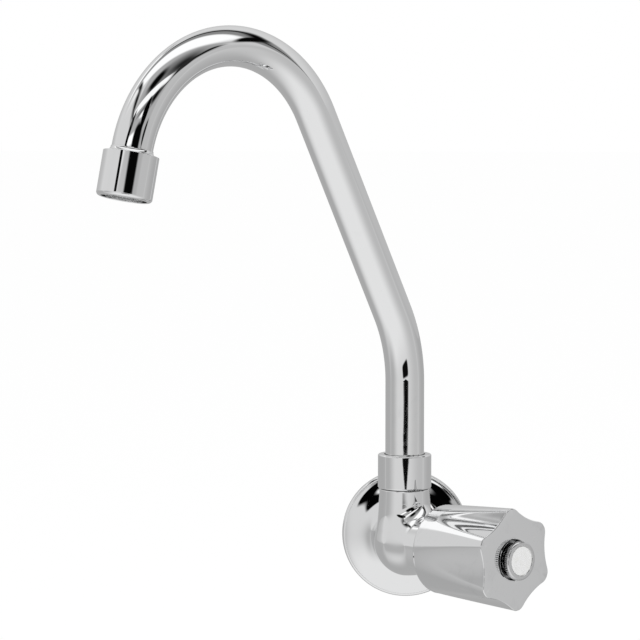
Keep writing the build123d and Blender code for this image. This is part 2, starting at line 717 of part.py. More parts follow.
# ---- Handle: hollow casting whose scallops start as points behind and open towards the face ---
skirt_radius = skirt_diameter / 2
front_radius = handle_front_diameter / 2
handle_taper = (front_radius - skirt_radius) / handle_length
hub_radius = hub_diameter / 2
boss_radius = boss_diameter / 2
boss_foot = spline_start + seat_gap
lobe_direction = Vector(0, 0, 1).rotate(valve_axis, lobe_phase)
handle_profile = Plane(swivel_foot, x_dir=lobe_direction, z_dir=lobe_direction.cross(valve_direction))
with BuildPart() as handle_shell:
    with BuildSketch(handle_profile):
        Polygon(
            (0, skirt_station),
            (skirt_radius, skirt_station),
            (front_radius, handle_face),
            (0, handle_face),
            align=None,
        )
    revolve(axis=valve_axis)

    # Each scallop is a large round cutter, leant so that it bites deeper towards the face
    for lobe in range(lobes):
        outwards = lobe_direction.rotate(valve_axis, (lobe + 0.5) * 360 / lobes)
        start_offset = skirt_radius + handle_taper * scallop_start + scallop_radius
        cut_start = swivel_foot + valve_direction * (skirt_station + scallop_start) + outwards * start_offset
        end_offset = valley_diameter / 2 + scallop_radius
        cut_route = swivel_foot + valve_direction * handle_face + outwards * end_offset - cut_start
        with BuildSketch(Plane(cut_start, z_dir=cut_route)):
            Circle(scallop_radius)
        extrude(amount=cut_route.length + scallop_start, mode=Mode.SUBTRACT)
    fillet(handle_shell.edges().filter_by(GeomType.BSPLINE), scallop_edge_round)
    fillet(handle_shell.faces().sort_by(valve_axis)[-1].edges(), front_edge_round)
    fillet(rims(handle_shell, skirt_radius), skirt_round)

    # Hollow back, which leaves the hub behind the face and the boss that grips the spindle
    with BuildSketch(handle_profile):
        Polygon(
            (0, skirt_station),
            (skirt_radius - handle_wall, skirt_station),
            (valley_diameter / 2 - handle_wall, cavity_end),
            (hub_radius, cavity_end),
            (hub_radius, web_back),
            (boss_radius, web_back),
            (boss_radius, boss_foot),
            (0, boss_foot),
            align=None,
        )
    revolve(axis=valve_axis, mode=Mode.SUBTRACT)

    # Splined socket and screw hole from behind, cap socket and recess from the front
    with BuildSketch(valve_plane(boss_foot)):
        with BuildLine():
            spline_outline(spline_diameter / 2 + running_clearance)
        make_face()
    extrude(amount=web_back - boss_foot, mode=Mode.SUBTRACT)
    front_bores = (
        (screw_diameter / 2 + slip_clearance, web_back),
        (cap_socket_diameter / 2, recess_floor),
        (recess_diameter / 2, handle_face - recess_depth),
    )
    for bore_radius, bore_floor in front_bores:
        with BuildSketch(valve_plane(bore_floor)):
            Circle(bore_radius)
        extrude(amount=handle_face - bore_floor, mode=Mode.SUBTRACT)
    chamfer(rims(handle_shell, recess_diameter / 2).sort_by(valve_axis)[-1], recess_edge)
finish(handle_shell, "handle_shell")

# ---- Handle screw and its washer, under the cap -----------------------------------------------
screw_washer = ring(
    valve_plane(recess_floor),
    screw_head_diameter / 2 + slip_clearance,
    screw_diameter / 2 + slip_clearance,
    screw_washer_thickness,
)
finish(screw_washer, "screw_washer")

with BuildPart() as handle_screw:
    with BuildSketch(valve_plane(screw_seat)):
        Circle(screw_diameter / 2)
    extrude(amount=-screw_length)
    chamfer(handle_screw.edges().sort_by(valve_axis)[0], screw_tip)
    with BuildSketch(valve_plane(screw_seat)):
        Circle(screw_head_diameter / 2)
    extrude(amount=screw_head_height)
    fillet(handle_screw.edges().sort_by(valve_axis)[-1], screw_head_round)
    with BuildSketch(valve_plane(screw_seat + screw_head_height - screw_slot)):
        Rectangle(screw_head_diameter, screw_slot)
    extrude(amount=screw_slot, mode=Mode.SUBTRACT)
finish(handle_screw, "handle_screw")

# ---- Index cap: knurled head on a hollow plug, with a pocket for the disc ----------------------
with BuildPart() as index_cap:
    sleeve_outer = cap_socket_diameter / 2 - running_clearance
    sleeve_foot = recess_floor + cap_sleeve_gap
    with BuildSketch(valve_plane(sleeve_foot)):
        Circle(sleeve_outer)
    extrude(amount=cap_back - sleeve_foot)
    with BuildSketch(valve_plane(cap_back)):
        Circle(cap_diameter / 2)
    extrude(amount=cap_head_thickness)
    fillet(rims(index_cap, cap_diameter / 2).sort_by(valve_axis)[-1], cap_rim_round)
    with BuildSketch(valve_plane(cap_back)):
        with PolarLocations(cap_diameter / 2, knurl_teeth):
            RegularPolygon(knurl_depth, knurl_sides)
    extrude(amount=cap_head_thickness - cap_rim_round, mode=Mode.SUBTRACT)
    with BuildSketch(valve_plane(sleeve_foot)):
        Circle(sleeve_outer - cap_sleeve_wall)
    extrude(amount=cap_back - sleeve_foot, mode=Mode.SUBTRACT)
    with BuildSketch(valve_plane(cap_front - disc_thickness)):
        Circle(disc_diameter / 2 + running_clearance)
    extrude(amount=disc_thickness, mode=Mode.SUBTRACT)
finish(index_cap, "index_cap")

with BuildPart() as index_disc:
    with BuildSketch(valve_plane(cap_front - disc_thickness)):
        Circle(disc_diameter / 2)
    extrude(amount=disc_thickness)
finish(index_disc, "index_disc")
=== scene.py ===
import json
import math
import bmesh
import bpy
import numpy as np
from mathutils import Matrix, Vector
from mathutils.geometry import interpolate_bezier


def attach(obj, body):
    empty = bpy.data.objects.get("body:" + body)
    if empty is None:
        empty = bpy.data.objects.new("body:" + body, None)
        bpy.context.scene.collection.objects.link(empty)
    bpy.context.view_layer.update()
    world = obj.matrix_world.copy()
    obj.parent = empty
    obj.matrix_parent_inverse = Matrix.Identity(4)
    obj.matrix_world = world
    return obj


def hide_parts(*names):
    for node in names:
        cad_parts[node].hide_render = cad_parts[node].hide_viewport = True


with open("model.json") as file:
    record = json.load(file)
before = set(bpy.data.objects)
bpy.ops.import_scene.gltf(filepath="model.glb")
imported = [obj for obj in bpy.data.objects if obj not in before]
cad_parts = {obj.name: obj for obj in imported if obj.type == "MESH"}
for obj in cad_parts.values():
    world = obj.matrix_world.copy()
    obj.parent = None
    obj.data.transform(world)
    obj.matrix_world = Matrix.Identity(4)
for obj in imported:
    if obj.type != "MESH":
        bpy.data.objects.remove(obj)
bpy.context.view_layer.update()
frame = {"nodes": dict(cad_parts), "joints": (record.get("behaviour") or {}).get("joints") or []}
cadNodes = frame["nodes"]
joints = {joint["name"]: joint for joint in frame["joints"]}
scene = bpy.context.scene
mm = 0.001
print("frame:", len(cadNodes), "CAD nodes")


# Places: one for each axis that a turned piece stands on
def axisPlace(origin, direction, side):
    z = Vector(direction).normalized()
    x = (Vector(side) - z * z.dot(Vector(side))).normalized()
    return Matrix.Translation(Vector(origin)) @ Matrix((x, z.cross(x), z)).transposed().to_4x4()


swivelFoot = Vector(joints["spout_swivel"]["pos_m"])
valveAxis = Vector(joints["handle_turn"]["axis"])
up = Vector((0, 0, 1))
swivelPlace = axisPlace(swivelFoot, up, valveAxis.cross(up))  # at rest the spout lies square to the valve
valvePlace = axisPlace(swivelFoot, valveAxis, up)
inletPlace = axisPlace((0, 0, 0), (0, -1, 0), up)
wallPlace = axisPlace((0, 0, 0), (0, 1, 0), up)


def shown(name, bm, place=Matrix(), crease=32):
    bmesh.ops.transform(bm, matrix=place, verts=bm.verts)
    bmesh.ops.recalc_face_normals(bm, faces=bm.faces)
    for face in bm.faces:
        face.smooth = True
    for edge in bm.edges:
        if len(edge.link_faces) == 2 and edge.calc_face_angle() > math.radians(crease):
            edge.smooth = False
    mesh = bpy.data.meshes.new(name)
    bm.to_mesh(mesh)
    bm.free()
    piece = bpy.data.objects.new(name, mesh)
    scene.collection.objects.link(piece)
    return piece


finishOf = {}  # piece name to the name of its finish


def dress(piece, body, slot, *replaced):
    # The piece rides on a body, takes a slot's finish, and stands for CAD nodes
    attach(piece, body)
    if replaced:
        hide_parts(*replaced)
    finishOf[piece.name] = slot
    return piece


def evenNormals(piece):
    # Flats stay flat beside their rounded edges
    weighted = piece.modifiers.new("evenNormals", "WEIGHTED_NORMAL")
    weighted.keep_sharp = True
    return piece


def extruded(bm, edges):
    # The new vertices and the new far loop of an extruded loop of edges
    out = bmesh.ops.extrude_edge_only(bm, edges=edges)["geom"]
    verts = {item for item in out if isinstance(item, bmesh.types.BMVert)}
    return verts, [item for item in out if isinstance(item, bmesh.types.BMEdge) and set(item.verts) <= verts]


def roundCorner(bm, corner, radius, segments=7):
    # The setback along both edges gives an arc of this radius
    near, far = [edge.other_vert(corner).co for edge in corner.link_edges]
    turn = (corner.co - near).angle(far - corner.co)
    bmesh.ops.bevel(bm, geom=[corner], offset=radius * mm * math.tan(turn / 2), offset_type="OFFSET",
                    segments=segments, profile=0.5, affect="VERTICES", material=-1)


def turned(name, outline, place, steps=128):
    # outline: (radius, height, corner rounding) round the wall's section, in millimetres
    bm = bmesh.new()
    corners = [bm.verts.new((radius * mm, 0, height * mm)) for radius, height, _ in outline]
    for first, second in zip(corners, corners[1:] + corners[:1]):
        bm.edges.new((first, second))
    for corner, (_, _, rounding) in zip(corners, outline):
        if rounding:
            roundCorner(bm, corner, rounding)
    bmesh.ops.spin(bm, geom=bm.verts[:] + bm.edges[:], cent=(0, 0, 0), axis=(0, 0, 1),
                   angle=math.tau, steps=steps, use_merge=True)
    bmesh.ops.remove_doubles(bm, verts=bm.verts, dist=1e-6)
    return evenNormals(shown(name, bm, place))


def curved(start, startHandle, endHandle, end, count):
    # Points of one Bezier stretch of an outline, without its ends' rounding
    knots = [Vector((*point, 0)) for point in (start, startHandle, endHandle, end)]
    return [(point.x, point.y, 0) for point in interpolate_bezier(*knots, count)]


# Spout tube: riser, bend, lean, arch and tip, drawn as one ring for each side of its wall
spout = {
    "diameter": 19.05, "wall": 1.0, "foot": 40.8, "riserTop": 80.0, "bendRadius": 74.5, "lean": 27.8,
    "leanLength": 109.7, "archRadius": 60.9, "tipTilt": 12.7, "tipInsert": 6.0, "around": 128,
}


def drawTube(bm, radius):
    lean, tilt = math.radians(spout["lean"]), math.radians(spout["tipTilt"])
    ring = bmesh.ops.create_circle(bm, segments=spout["around"], radius=radius * mm,
                                   matrix=Matrix.Translation((0, 0, spout["foot"] * mm)))["verts"]
    foot = list(dict.fromkeys(edge for vert in ring for edge in vert.link_edges))

    def middle(verts):
        return sum((vert.co for vert in verts), Vector()) / len(verts)

    def straight(edges, move):
        verts, edges = extruded(bm, edges)
        bmesh.ops.translate(bm, verts=list(verts), vec=move * mm)
        return edges, middle(verts)

    def bent(edges, centre, angle, steps):
        verts = list(dict.fromkeys(vert for edge in edges for vert in edge.verts))
        last = bmesh.ops.spin(bm, geom=verts + edges, cent=centre, axis=(0, 1, 0), angle=angle, steps=steps,
                              use_duplicate=False)["geom_last"]
        verts = [item for item in last if isinstance(item, bmesh.types.BMVert)]
        return [item for item in last if isinstance(item, bmesh.types.BMEdge)], middle(verts)

    leanWay = Vector((math.sin(lean), 0, math.cos(lean)))
    tipWay = Vector((math.sin(tilt), 0, -math.cos(tilt)))
    edges, at = straight(foot, Vector((0, 0, spout["riserTop"] - spout["foot"])))
    edges, at = bent(edges, at + Vector((spout["bendRadius"] * mm, 0, 0)), lean, 32)
    edges, at = straight(edges, leanWay * spout["leanLength"])
    inwards = Vector((math.cos(lean), 0, -math.sin(lean)))
    edges, archEnd = bent(edges, at + inwards * spout["archRadius"] * mm, math.pi - lean - tilt, 144)
    edges, _ = straight(edges, tipWay * spout["tipInsert"])
    return foot, edges, archEnd, tipWay


tubeMesh = bmesh.new()
outerFoot, outerEnd, *_ = drawTube(tubeMesh, spout["diameter"] / 2)
innerFoot, innerEnd, archEnd, tipWay = drawTube(tubeMesh, spout["diameter"] / 2 - spout["wall"])
bmesh.ops.bridge_loops(tubeMesh, edges=outerFoot + innerFoot)
bmesh.ops.bridge_loops(tubeMesh, edges=outerEnd + innerEnd)
tipPlace = axisPlace(swivelPlace @ archEnd, swivelPlace.to_3x3() @ tipWay, swivelPlace.to_3x3() @ Vector((0, 1, 0)))
dress(shown("spoutTube", tubeMesh, swivelPlace), "spout", "chrome", "spout_tube")

# Outlet cup: brazed on the tip, with a step that holds the aerator
cup = {
    "radius": 12.9, "shoulder": 1.4, "foot": 22.3, "neckFillet": 2.4, "topEdge": 0.25, "edgeRound": 1.7,
    "mouthRadius": 10.7, "mouthRound": 0.35, "aeratorEnd": 16.7, "aeratorRadius": 10.4, "boreStart": 7.4,
    "tubeEnd": 6.0, "tubeRadius": 9.675, "passageRadius": 8.525,
}
neckTop = cup["shoulder"] - cup["neckFillet"]
cupOutline = [
    (cup["tubeRadius"], neckTop, 0), (cup["tubeRadius"] + 0.12, neckTop, 0),
    (cup["tubeRadius"] + 0.16, cup["shoulder"], cup["neckFillet"] - 0.15),
    (cup["radius"], cup["shoulder"], cup["topEdge"]), (cup["radius"], cup["foot"], cup["edgeRound"]),
    (cup["mouthRadius"], cup["foot"], cup["mouthRound"]),
    (cup["mouthRadius"], cup["aeratorEnd"], 0), (cup["aeratorRadius"], cup["aeratorEnd"], 0),
    (cup["aeratorRadius"], cup["boreStart"], 0), (cup["passageRadius"], cup["boreStart"], 0),
    (cup["passageRadius"], cup["tubeEnd"], 0), (cup["tubeRadius"], cup["tubeEnd"], 0),
]
dress(turned("outletCup", cupOutline, tipPlace), "spout", "chrome", "spout_cup")

# Cap nut: holds the spout down, with a narrow gap round the tube, where the chrome's painted crevice shade makes a
# dark ring
nut = {
    "radius": 13.15, "base": 27.4, "height": 16.9, "edge": 0.8, "hole": 10.05, "holeEdge": 0.3, "thread": 10.56,
    "shoulder": 39.8, "ringRoom": 10.65, "threadTop": 36.8,
}
nutTop = nut["base"] + nut["height"]
nutOutline = [
    (nut["thread"], nut["base"], 0.4), (nut["radius"], nut["base"], nut["edge"]), (nut["radius"], nutTop, nut["edge"]),
    (nut["hole"], nutTop, nut["holeEdge"]), (nut["hole"], nut["shoulder"], 0), (nut["ringRoom"], nut["shoulder"], 0),
    (nut["ringRoom"], nut["threadTop"], 0), (nut["thread"], nut["threadTop"], 0),
]
dress(turned("capNut", nutOutline, swivelPlace), "body", "chrome", "cap_nut")

# Wall flange: a spun cover with a deep rim, a low dome and a collar
flange = {
    "radius": 31.75, "rimDepth": 6.6, "rimRound": 1.45, "shoulder": (25, 9.6), "throat": (15.6, 9.8),
    "collarRadius": 14.7, "collarFoot": 18.5, "front": 20.1, "collarRound": 0.8, "wall": 1.5, "neck": 12.65,
    "lip": 15.1, "backEdge": 0.3,
}
wall = flange["wall"]
rimInner = (flange["radius"] - wall, flange["rimDepth"] - wall)
flangeOutline = [
    (flange["radius"], 0, flange["backEdge"]), (flange["radius"], flange["rimDepth"], flange["rimRound"]),
    *curved((rimInner[0], flange["rimDepth"]), flange["shoulder"], flange["throat"],
            (flange["collarRadius"], flange["collarFoot"]), 48),
    (flange["collarRadius"], flange["front"], flange["collarRound"]), (flange["neck"], flange["front"], 0.2),
    (flange["neck"], flange["lip"], 0), (flange["collarRadius"] - wall, flange["lip"], 0),
    *curved((flange["collarRadius"] - wall, flange["lip"]), [x - wall for x in flange["throat"]],
            [x - wall for x in flange["shoulder"]], rimInner, 32)[1:],
    (rimInner[0], 0, 0),
]
dress(turned("wallFlange", flangeOutline, inletPlace, 160), "body", "chrome", "wall_flange")
print("turned pieces made")


# Body casting: leg and bowl, barrel and inlet neck, flowing into each other
body = {
    # Ends of the tapered leg and barrel: (radius, station)
    "legFoot": (14.0, 2.0), "legTop": (12.25, 27.3), "dome": (14.4, 4.0), "mouth": (15.0, 29.0),
    "bowlCentre": (-1.452, 1.984), "bowlArc": 15.452, "neckRadius": 12.5, "neckEnd": 7.5, "rimEdge": 0.7,
    # The crotch's fillet goes over from the lower to the upper radius as it rises
    "lowerFillet": 8.0, "upperFillet": 6.0, "filletStart": -3.0, "filletRise": 10.0, "wallFillet": 2.0, "voxel": 0.42,
    # Inner walls from each rim inwards: (radius, station)
    "socket": [(10.4775, 27.3), (10.4775, 35.6), (9.78, 36.3), (7.86, 36.3), (7.56, 36.0), (7.56, 15.0), (3, 15.0)],
    "barrelBore": [(10.85, 29.0), (10.55, 28.7), (10.55, 10.0), (8.6, 10.0), (8.6, -5.5), (3, -5.5)],
    "inlet": [(9.3, -7.5), (9.3, 12.6), (8.6, 14.0), (5.9, 14.0), (5.5, 13.6), (5.5, -22.0), (2, -22.0)],
    # Rough primitives under the skin: (place, middle, length, radius, far radius) and (place, middle, radius)
    "roughLeg": (swivelPlace, 14, 32, 14, 12.1), "roughBarrel": (valvePlace, 18, 28, 14.4, 15.05),
    "roughNeck": (inletPlace, 20, 32, 12.5, 12.5), "roughBowl": (swivelPlace, 0, 13.6),
    "roughDome": (valvePlace, 4, 14.4),
}
toValve = np.array(valvePlace.inverted())


def taperedDistance(radius, station, start, end, rounded):
    # A cone between two (radius, station) ends, with its rounded end before the start
    slope = (end[0] - start[0]) / (end[1] - start[1])
    side = (radius - start[0] - slope * (station - start[1])) * math.cos(math.atan(slope))
    return np.where(station < start[1], rounded, side)


def legDistance(p):
    radius, height = np.hypot(p[:, 0], p[:, 1] - swivelFoot.y / mm), p[:, 2]
    centreRadius, centreHeight = body["bowlCentre"]
    bowl = np.hypot(radius - centreRadius, height - centreHeight) - body["bowlArc"]
    return taperedDistance(radius, height, body["legFoot"], body["legTop"], bowl)


def barrelDistance(p):
    local = p @ toValve[:3, :3].T + toValve[:3, 3] / mm
    radius, station = np.hypot(local[:, 0], local[:, 1]), local[:, 2]
    domeRadius, domeStation = body["dome"]
    dome = np.hypot(radius, station - domeStation) - domeRadius
    return taperedDistance(radius, station, body["dome"], body["mouth"], dome)


def neckDistance(p):
    side = np.hypot(p[:, 0], p[:, 2]) - body["neckRadius"]
    behind = swivelFoot.y / mm - p[:, 1]
    return np.where(behind > 0, np.hypot(np.hypot(p[:, 0], p[:, 2]), behind) - body["neckRadius"], side)


def joined(first, second, radius):
    # Two castings that meet in a round fillet
    deep = np.hypot(np.maximum(radius - first, 0), np.maximum(radius - second, 0))
    return np.maximum(radius, np.minimum(first, second)) - deep


def bodyDistance(p):
    share = np.clip((p[:, 2] - body["filletStart"]) / body["filletRise"], 0, 1)
    fillet = body["lowerFillet"] + (body["upperFillet"] - body["lowerFillet"]) * share * share * (3 - 2 * share)
    casting = joined(legDistance(p), barrelDistance(p), fillet)
    return joined(casting, neckDistance(p), body["wallFillet"])


def settle(points, distance, rounds=6, step=0.02):
    # Moves each point along the slope of the distance until it lies on the skin
    for _ in range(rounds):
        value = distance(points)
        slope = np.stack([(distance(points + shift) - distance(points - shift)) / (2 * step)
                          for shift in np.eye(3) * step], axis=1)
        points = points - slope * (value / np.maximum((slope ** 2).sum(1), 0.25))[:, None]
    return points


def roughBody():
    # Overlapping primitives close to the casting, remeshed into one even skin
    bm = bmesh.new()

    def cone(place, middle, length, radius, farRadius):
        bmesh.ops.create_cone(bm, cap_ends=True, segments=64, radius1=radius * mm, radius2=farRadius * mm,
                              depth=length * mm, matrix=place @ Matrix.Translation((0, 0, middle * mm)))

    def ball(place, middle, radius):
        bmesh.ops.create_uvsphere(bm, u_segments=64, v_segments=32, radius=radius * mm,
                                  matrix=place @ Matrix.Translation((0, 0, middle * mm)))

    cone(*body["roughLeg"])
    ball(*body["roughBowl"])
    ball(*body["roughDome"])
    cone(*body["roughBarrel"])
    cone(*body["roughNeck"])
    rough = shown("rough", bm)
    remesh = rough.modifiers.new("even", "REMESH")
    remesh.mode = "VOXEL"
    remesh.voxel_size = body["voxel"] * mm
    shell = bpy.data.meshes.new_from_object(rough.evaluated_get(bpy.context.evaluated_depsgraph_get()))
    bpy.data.objects.remove(rough)
    return shell


def openLoop(bm, place, station):
    # Cuts the skin square across an axis and returns the free edge there
    normal = place.to_3x3() @ Vector((0, 0, 1))
    at = place @ Vector((0, 0, station * mm))
    cut = bmesh.ops.bisect_plane(bm, geom=bm.verts[:] + bm.edges[:] + bm.faces[:], plane_co=at, plane_no=normal,
                                 clear_outer=True, dist=1e-7)["geom_cut"]
    return [item for item in cut if isinstance(item, bmesh.types.BMEdge)]


def carryOn(bm, edges, place, stops):
    # Extrudes a free edge ring through (radius, height) stops along an axis, then closes it
    inverse = place.inverted()
    for radius, height in stops:
        verts, edges = extruded(bm, edges)
        for vert in verts:
            local = inverse @ vert.co
            side = Vector((local.x, local.y)).normalized() * radius * mm
            vert.co = place @ Vector((side.x, side.y, height * mm))
    bmesh.ops.holes_fill(bm, edges=edges)


def arcStops(centreRadius, centreHeight, radius, count=5):
    # Stops of a quarter round from the side of a turned wall onto its end face
    turns = [math.pi / 2 * (index + 1) / count for index in range(count)]
    return [(centreRadius + radius * math.cos(turn), centreHeight + radius * math.sin(turn)) for turn in turns]


def makeBody():
    bm = bmesh.new()
    bm.from_mesh(roughBody())
    points = np.array([vert.co for vert in bm.verts]) / mm
    points = settle(points, bodyDistance)
    for vert, point in zip(bm.verts, points):
        vert.co = Vector(point) * mm
    edge, (legRadius, legTop), (mouthRadius, mouth) = body["rimEdge"], body["legTop"], body["mouth"]
    legEdges = openLoop(bm, swivelPlace, legTop - edge)
    barrelEdges = openLoop(bm, valvePlace, mouth - edge)
    neckEdges = openLoop(bm, wallPlace, -body["neckEnd"])
    legRim = arcStops(legRadius + 0.05 - edge, legTop - edge, edge)  # the settled skin is a hair wider there
    carryOn(bm, legEdges, swivelPlace, legRim + body["socket"])
    carryOn(bm, barrelEdges, valvePlace, arcStops(mouthRadius - edge, mouth - edge, edge) + body["barrelBore"])
    carryOn(bm, neckEdges, wallPlace, body["inlet"])
    return shown("bodyCasting", bm, Matrix(), 35)


bodyCasting = dress(makeBody(), "body", "chrome", "valve_body")
print("body made:", len(bodyCasting.data.polygons), "faces")

# Inlet thread: a rolled helix on the end of the inlet neck
thread = {
    "pitch": 25.4 / 14, "outer": 10.4775, "root": 9.25, "start": -7.2, "turns": 10.6, "steps": 72, "crest": 0.16,
}


def makeThread():
    bm = bmesh.new()
    half = thread["pitch"] / 2
    section = [(thread["root"], -half * 0.92), (thread["outer"], -thread["crest"]), (thread["outer"], thread["crest"]),
               (thread["root"], half * 0.92)]
    corners = [bm.verts.new((radius * mm, 0, (thread["start"] + half + height) * mm)) for radius, height in section]
    bm.faces.new(corners)
    steps = round(thread["steps"] * thread["turns"])
    bmesh.ops.spin(bm, geom=bm.verts[:] + bm.edges[:] + bm.faces[:], cent=(0, 0, 0), axis=(0, 0, 1),
                   angle=math.tau * thread["turns"], dvec=(0, 0, thread["pitch"] * mm / thread["steps"]),
                   steps=steps, use_duplicate=False)
    return shown("inletThread", bm, wallPlace, 40)


dress(makeThread(), "body", "chrome")

# Handle shell: a tapered casting with six scallops that open towards its face
handle = {
    "skirtStation": 27.0, "length": 48.3, "skirtRadius": 21.7, "frontRadius": 24.9, "skirtRound": 1.6, "lobes": 6,
    "phase": 5.7, "scallopRadius": 34.0, "scallopStart": 2.0, "valleyRadius": 21.1, "scallopEdge": 1.2,
    "frontEdge": 0.5, "recessRadius": 9.75, "recessDepth": 3.0, "recessEdge": 0.3, "perSide": 22,
    "edgeBand": 3.6, "plugBore": 7.6, "skirtInside": 19.1,
    # From the plug's bore through the screw's hole, the spindle's socket and back inside the shell
    "inside": [(7.6, 63.6), (2.15, 63.6), (2.15, 60.4), (5.6, 60.4), (5.6, 49.4), (8, 49.4), (8, 60.4), (12, 60.4),
               (12, 72.0), (18.5, 72.0)],
}
handleFace = handle["skirtStation"] + handle["length"]
taper = (handle["frontRadius"] - handle["skirtRadius"]) / handle["length"]
scallopBase = handle["skirtStation"] + handle["scallopStart"]
scallopNear = handle["skirtRadius"] + taper * handle["scallopStart"] + handle["scallopRadius"]
scallopFar = handle["valleyRadius"] + handle["scallopRadius"]


def scallopCentre(station):
    return scallopNear + (scallopFar - scallopNear) * (station - scallopBase) / (handleFace - scallopBase)


def edgeTurn(station):
    # Angle from the middle of a scallop to its edge on the cone
    cone = handle["skirtRadius"] + taper * (station - handle["skirtStation"])
    centre = scallopCentre(station)
    cosine = (cone ** 2 + centre ** 2 - handle["scallopRadius"] ** 2) / (2 * cone * centre)
    return math.degrees(math.acos(min(1, cosine)))


def handleRadius(turn, station):
    # Radius of the casting at a turn (degrees from the middle of its scallop), with rounded scallop edges
    cone = handle["skirtRadius"] + taper * (station - handle["skirtStation"])
    centre, angle, edge = scallopCentre(station), np.radians(turn), handle["scallopEdge"]
    low, high = np.full_like(angle, 15.0), np.full_like(angle, 30.0)
    for _ in range(40):
        radius = (low + high) / 2
        outside = radius - cone
        cutter = handle["scallopRadius"] - np.hypot(radius * np.cos(angle) - centre, radius * np.sin(angle))
        deep = np.hypot(np.maximum(outside + edge, 0), np.maximum(cutter + edge, 0))
        solid = np.minimum(-edge, np.maximum(outside, cutter)) + deep
        low, high = np.where(solid < 0, radius, low), np.where(solid < 0, high, radius)
    return (low + high) / 2


def handleTurns(station):
    # Turns of the columns over one half lobe, crowded at the scallop's edge
    wide, count = handle["edgeBand"], handle["perSide"]
    edge = max(edgeTurn(max(station, scallopBase + 0.01)), wide + 0.9)
    inner = np.linspace(0, edge - wide, count // 3 + 1)[:-1]
    across = np.linspace(edge - wide, edge + wide, count // 3 + 2)[:-1]
    outer = np.linspace(edge + wide, 30, count - len(inner) - len(across) + 1)
    return np.concatenate([inner, across, outer])


def makeHandle():
    bm = bmesh.new()
    columns = 2 * (len(handleTurns(handleFace)) - 1) * handle["lobes"]
    row = bmesh.ops.create_circle(bm, segments=columns, radius=mm)["verts"]
    row = sorted(row, key=lambda vert: math.atan2(vert.co.y, vert.co.x) % math.tau)

    def shape(station):
        # Turns of one scallop's columns from its middle to the next, and the radius at each
        half = handleTurns(station)
        turns = np.concatenate([half, 60 - half[-2:0:-1]])
        return turns, handleRadius(np.minimum(turns, 60 - turns), station)

    def layRing(verts, station, turns, radius):
        radius = np.broadcast_to(radius, len(turns))
        for index, vert in enumerate(verts):
            lobe, step = divmod(index, len(turns))
            angle = math.radians(handle["phase"] + 30 + lobe * 60 + turns[step])
            vert.co = (radius[step] * math.cos(angle) * mm, radius[step] * math.sin(angle) * mm, station * mm)

    def nextRing(verts):
        edges = [next(edge for edge in vert.link_edges if edge.other_vert(vert) == follower)
                 for vert, follower in zip(verts, verts[1:] + verts[:1])]
        fresh, _ = extruded(bm, edges)
        above = {edge.other_vert(vert): vert for vert in fresh for edge in vert.link_edges
                 if edge.other_vert(vert) not in fresh}
        return [above[vert] for vert in verts]

    rings = []  # (station, turns, radii)
    start, skirtRound, edge = handle["skirtStation"], handle["skirtRound"], handle["frontEdge"]
    turns, _ = shape(start)
    for index in range(8):
        angle = math.pi / 2 * index / 8
        station = start + skirtRound * (1 - math.cos(angle))
        radius = handle["skirtRadius"] - skirtRound * (1 - math.sin(angle)) + taper * (station - start)
        rings.append((station, turns, radius))
    nearSkirt = np.linspace(start + skirtRound, start + 7, 16)
    for station in [*nearSkirt, *np.linspace(start + 7, handleFace - edge, 22)[1:]]:
        rings.append((station, *shape(station)))
    turns, radii = shape(handleFace)
    for index in range(1, 6):
        angle = math.pi / 2 * index / 5
        rings.append((handleFace - edge * (1 - math.sin(angle)), turns, radii - edge * (1 - math.cos(angle))))
    recess, recessEdge, plug = handle["recessRadius"], handle["recessEdge"], handle["plugBore"]
    for share in (0.25, 0.6, 0.9):
        rings.append((handleFace, turns, (radii - edge) * (1 - share) + (recess + recessEdge) * share))
    bottom = handleFace - handle["recessDepth"]
    inside = [(recess + recessEdge, handleFace), (recess + 0.09, handleFace - 0.09), (recess, handleFace - recessEdge),
              (recess, bottom + 0.2), (recess - 0.2, bottom), (plug + 0.2, bottom), (plug, bottom - 0.2),
              *handle["inside"], (handle["skirtInside"], start), (handle["skirtRadius"] - skirtRound, start)]
    rings += [(station, turns, radius) for radius, station in inside]
    layRing(row, *rings[0])
    for ring in rings[1:]:
        row = nextRing(row)
        layRing(row, *ring)
    bmesh.ops.remove_doubles(bm, verts=bm.verts, dist=1e-6)
    return evenNormals(shown("handleShell", bm, valvePlace))


handleShell = dress(makeHandle(), "handle", "handle_chrome", "handle_shell")
print("handle made:", len(handleShell.data.polygons), "faces")

# Index cap: a knurled head on a plug, with a bare disc let into it
cap = {
    "back": 77.3, "front": 80.0, "radius": 9.4, "rimRound": 0.9, "grooves": 60, "grooveDepth": 0.42, "perGroove": 6,
    "sleeve": 7.54, "foot": 65.3, "bore": 6.04, "pocketRadius": 7.06, "pocketFloor": 79.4,
}


